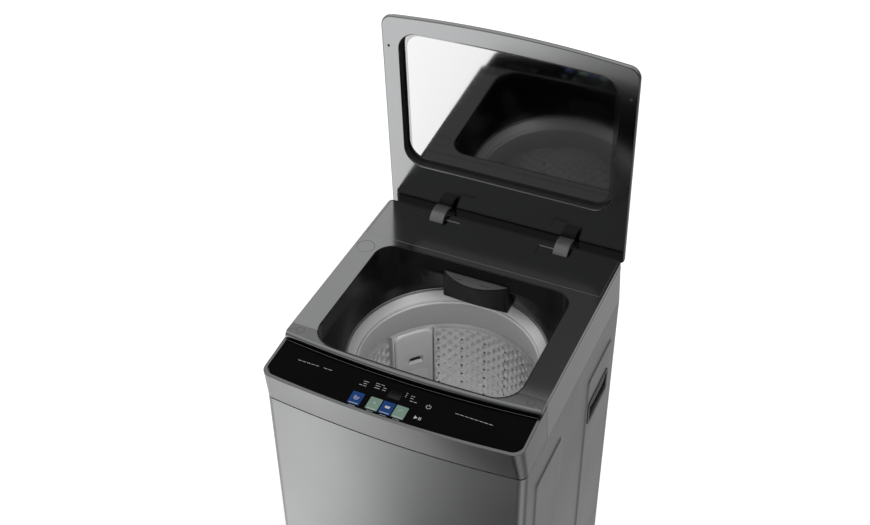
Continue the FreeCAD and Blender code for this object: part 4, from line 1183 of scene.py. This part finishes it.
tub_cover()
balance_ring()
basket()
pulsator()
springs()
lint_filter()
for finish, edge, names in (
    ("filter_grey", 0.5, ["filter_frame"]),
    ("cast_metal", 1.0, ["basket_base"]),
    ("screw_steel", 0.6, ["pulsator_screw"]),
    ("tub_plastic", 1.0, ["outer_tub"]),
    ("dark_plastic", 0.6, ["suspension_cups", "rod_end_seats"]),
    ("zinc_steel", 0.3, ["suspension_rods"]),
    ("zinc_steel", 0.4, ["corner_brackets"]),
    ("zinc_steel", 0.6, ["tub_bracket"]),
    ("cast_metal", 1.2, ["gear_case"]),
    ("screw_steel", 0.4, ["main_bearings"]),
    ("rubber", 0.4, ["tub_seal"]),
    ("copper", 0.6, ["motor_stator"]),
    ("zinc_steel", 0.8, ["motor_rotor"]),
    ("screw_steel", 0.3, ["wash_shaft", "spin_shaft"]),
    ("white_plastic", 0.0, ["drain_valve"]),
    ("hose_black", 0.6, ["drain_spigot"]),
    ("rubber", 0.5, ["cord_gland"]),
    ("dark_plastic", 1.0, ["motor_driver_box"]),
    ("white_plastic", 0.6, ["pressure_switch"]),
):
    for name in names:
        finish_node(name, finish, edge)


# ---- Lid and hinges ---------------------------------------------------------------
def lid_form(inset):
    return plan(
        LID_HALF - inset, LID_FRONT_Y + inset + 0.1, REAR_Y - inset, max(28 - inset, 4),
        max(12 - inset / 2, 3), cuts=30, n=10,
    )


def window(grow):
    """The window's outline, started at the same corner as the lid's own."""
    return plan(
        WINDOW_HALF + grow, WINDOW_FRONT - grow, WINDOW_REAR + grow, 46 + grow, 46 + grow, BOW * 0.5,
        cuts=30, n=10,
    )


def lid_shell():
    low, top = LID_UNDER + 7.0, LID_TOP

    def outer(t):
        return plan(
            LID_HALF - 4 * t, LID_FRONT_Y + 7 * t, REAR_Y - 4 * t, 28 - 2 * t, 12 - 3 * t, cuts=30, n=10,
        )

    loops = [level(lid_form(4.6), low + 0.1), level(lid_form(0.6), low), level(lid_form(0.1), low + 0.5)]
    loops += [level(outer(t), low + (top - low) * t) for t in (0.08, 0.35, 0.7, 0.82)]
    for i, z in ((0.4, top - 1.0), (1.2, top - 0.3), (2.4, top)):
        rim = plan(
            LID_HALF - 4.0 - i, LID_FRONT_Y + 7.0 + i, REAR_Y - 4.0 - i, 26 - i, 9 - i / 2, cuts=30, n=10,
        )
        loops.append(level(rim, z))
    loops += rise(window, [(11.2, top), (10.5, top - 0.25), (10.2, top - 0.9), (10.2, top - 2.6)])
    loops += [level(lid_form(6.2), top - 2.8)]
    piece(
        "lid_shell", moved(stack(loops, ring=True), OPENED), "lid", "lid_paint",
        ["lid_outer_shell"],
    )


def lid_frame():
    under, step = LID_UNDER, LID_UNDER + 6.8
    profile = [
        (2.6, step), (0.5, step), (0, step - 0.5), (0, under + 2.4), (0.8, under + 0.7), (2.4, under),
        (4, under), (12, under),
    ]
    loops = rise(lid_form, profile)
    loops += rise(window, [
        (6, under), (3.2, under), (2.4, under), (0.7, under + 0.6), (0, under + 2.2), (0, GLASS_Z - 0.4),
        (0.5, GLASS_Z), (12.4, GLASS_Z), (12.4, under + 2.5),
    ])
    loops += [level(lid_form(8.8), z) for z in (under + 2.5, LID_TOP - 3.5)]
    loops += [level(lid_form(6.4), z) for z in (LID_TOP - 3.5, under + 2.5)]
    piece(
        "lid_liner", moved(stack(loops, ring=True), OPENED), "lid", "lid_paint",
        ["lid_inner_frame"],
    )
    # Painted shade: a black strip lines the window's recess wall so the wall reads as the dark line its
    # shade makes.
    edge = rise(window, [
        (0.2, under + 2.6), (-0.3, under + 3.0), (-0.3, GLASS_Z - 0.2), (0.2, GLASS_Z - 0.1),
    ])
    piece(
        "lid_window_shade_edging", moved(stack(edge, ring=True), OPENED), "lid", "black_plastic",
    )


def lid_glass():
    low, top = GLASS_Z + 0.1, LID_TOP - 0.6
    loops = rise(window, [(9.4, low), (9.9, low + 0.5), (9.9, top - 0.5), (9.4, top)])
    piece(
        "lid_window", moved(stack(loops, cap=True), OPENED), "lid", "smoked_glass",
        ["lid_glass"],
    )
    border = moved(stack(rise(window, [
        (-1, low + 0.02), (-11, low + 0.02), (-11.4, low - 0.06), (-11, low - 0.12), (-1, low - 0.12),
    ]), ring=True), OPENED)
    piece("lid_window_border", border, "lid", "smoked_glass", finish="glass_border")


def lid_arm(side):
    sign = 1 if side == "right" else -1
    x0, x1 = ARM_X - ARM_W / 2, ARM_X + ARM_W / 2

    def section(a, r_in, r_out, edge):
        u = Vector((0, math.cos(math.radians(a)), math.sin(math.radians(a))))
        centre = Vector((0, HINGE_Y, HINGE_Z))
        shape = [(x0, r_in, edge), (x1, r_in, edge), (x1, r_out, edge), (x0, r_out, edge)]
        return [centre + Vector((p.x, 0, 0)) + u * p.y for p in fillet(shape, n=4)]

    band = stack([section(50 + 144 * k / 48, ARM_R - 6, ARM_R, 1.6) for k in range(49)], cap=True)
    spoke = stack([section(158 + 34 * k / 12, 6, ARM_R - 4, 1.4) for k in range(13)], cap=True)
    hub = stack([
        [Vector((x, HINGE_Y + r * math.cos(math.tau * k / 32), HINGE_Z + r * math.sin(math.tau * k / 32)))
         for k in range(32)]
        for x, r in ((x0, 7), (x0 + 1, 8), (x1 - 1, 8), (x1, 7))
    ], cap=True)
    part = together([band, spoke, hub])
    if sign < 0:
        part = moved(part, MIRROR)
    piece(f"arm_{side}", part, "lid", "hinge_grey", [f"lid_arm_{side}"])


lid_shell()
lid_frame()
lid_glass()
lid_arm("right")
lid_arm("left")
finish_node("lid_bumpers", "rubber", 0.5)
finish_node("hinge_housing_right", "hinge_grey", 0.6)
finish_node("hinge_housing_left", "hinge_grey", 0.6)
finish_node("hinge_pins", "screw_steel", 0.4)
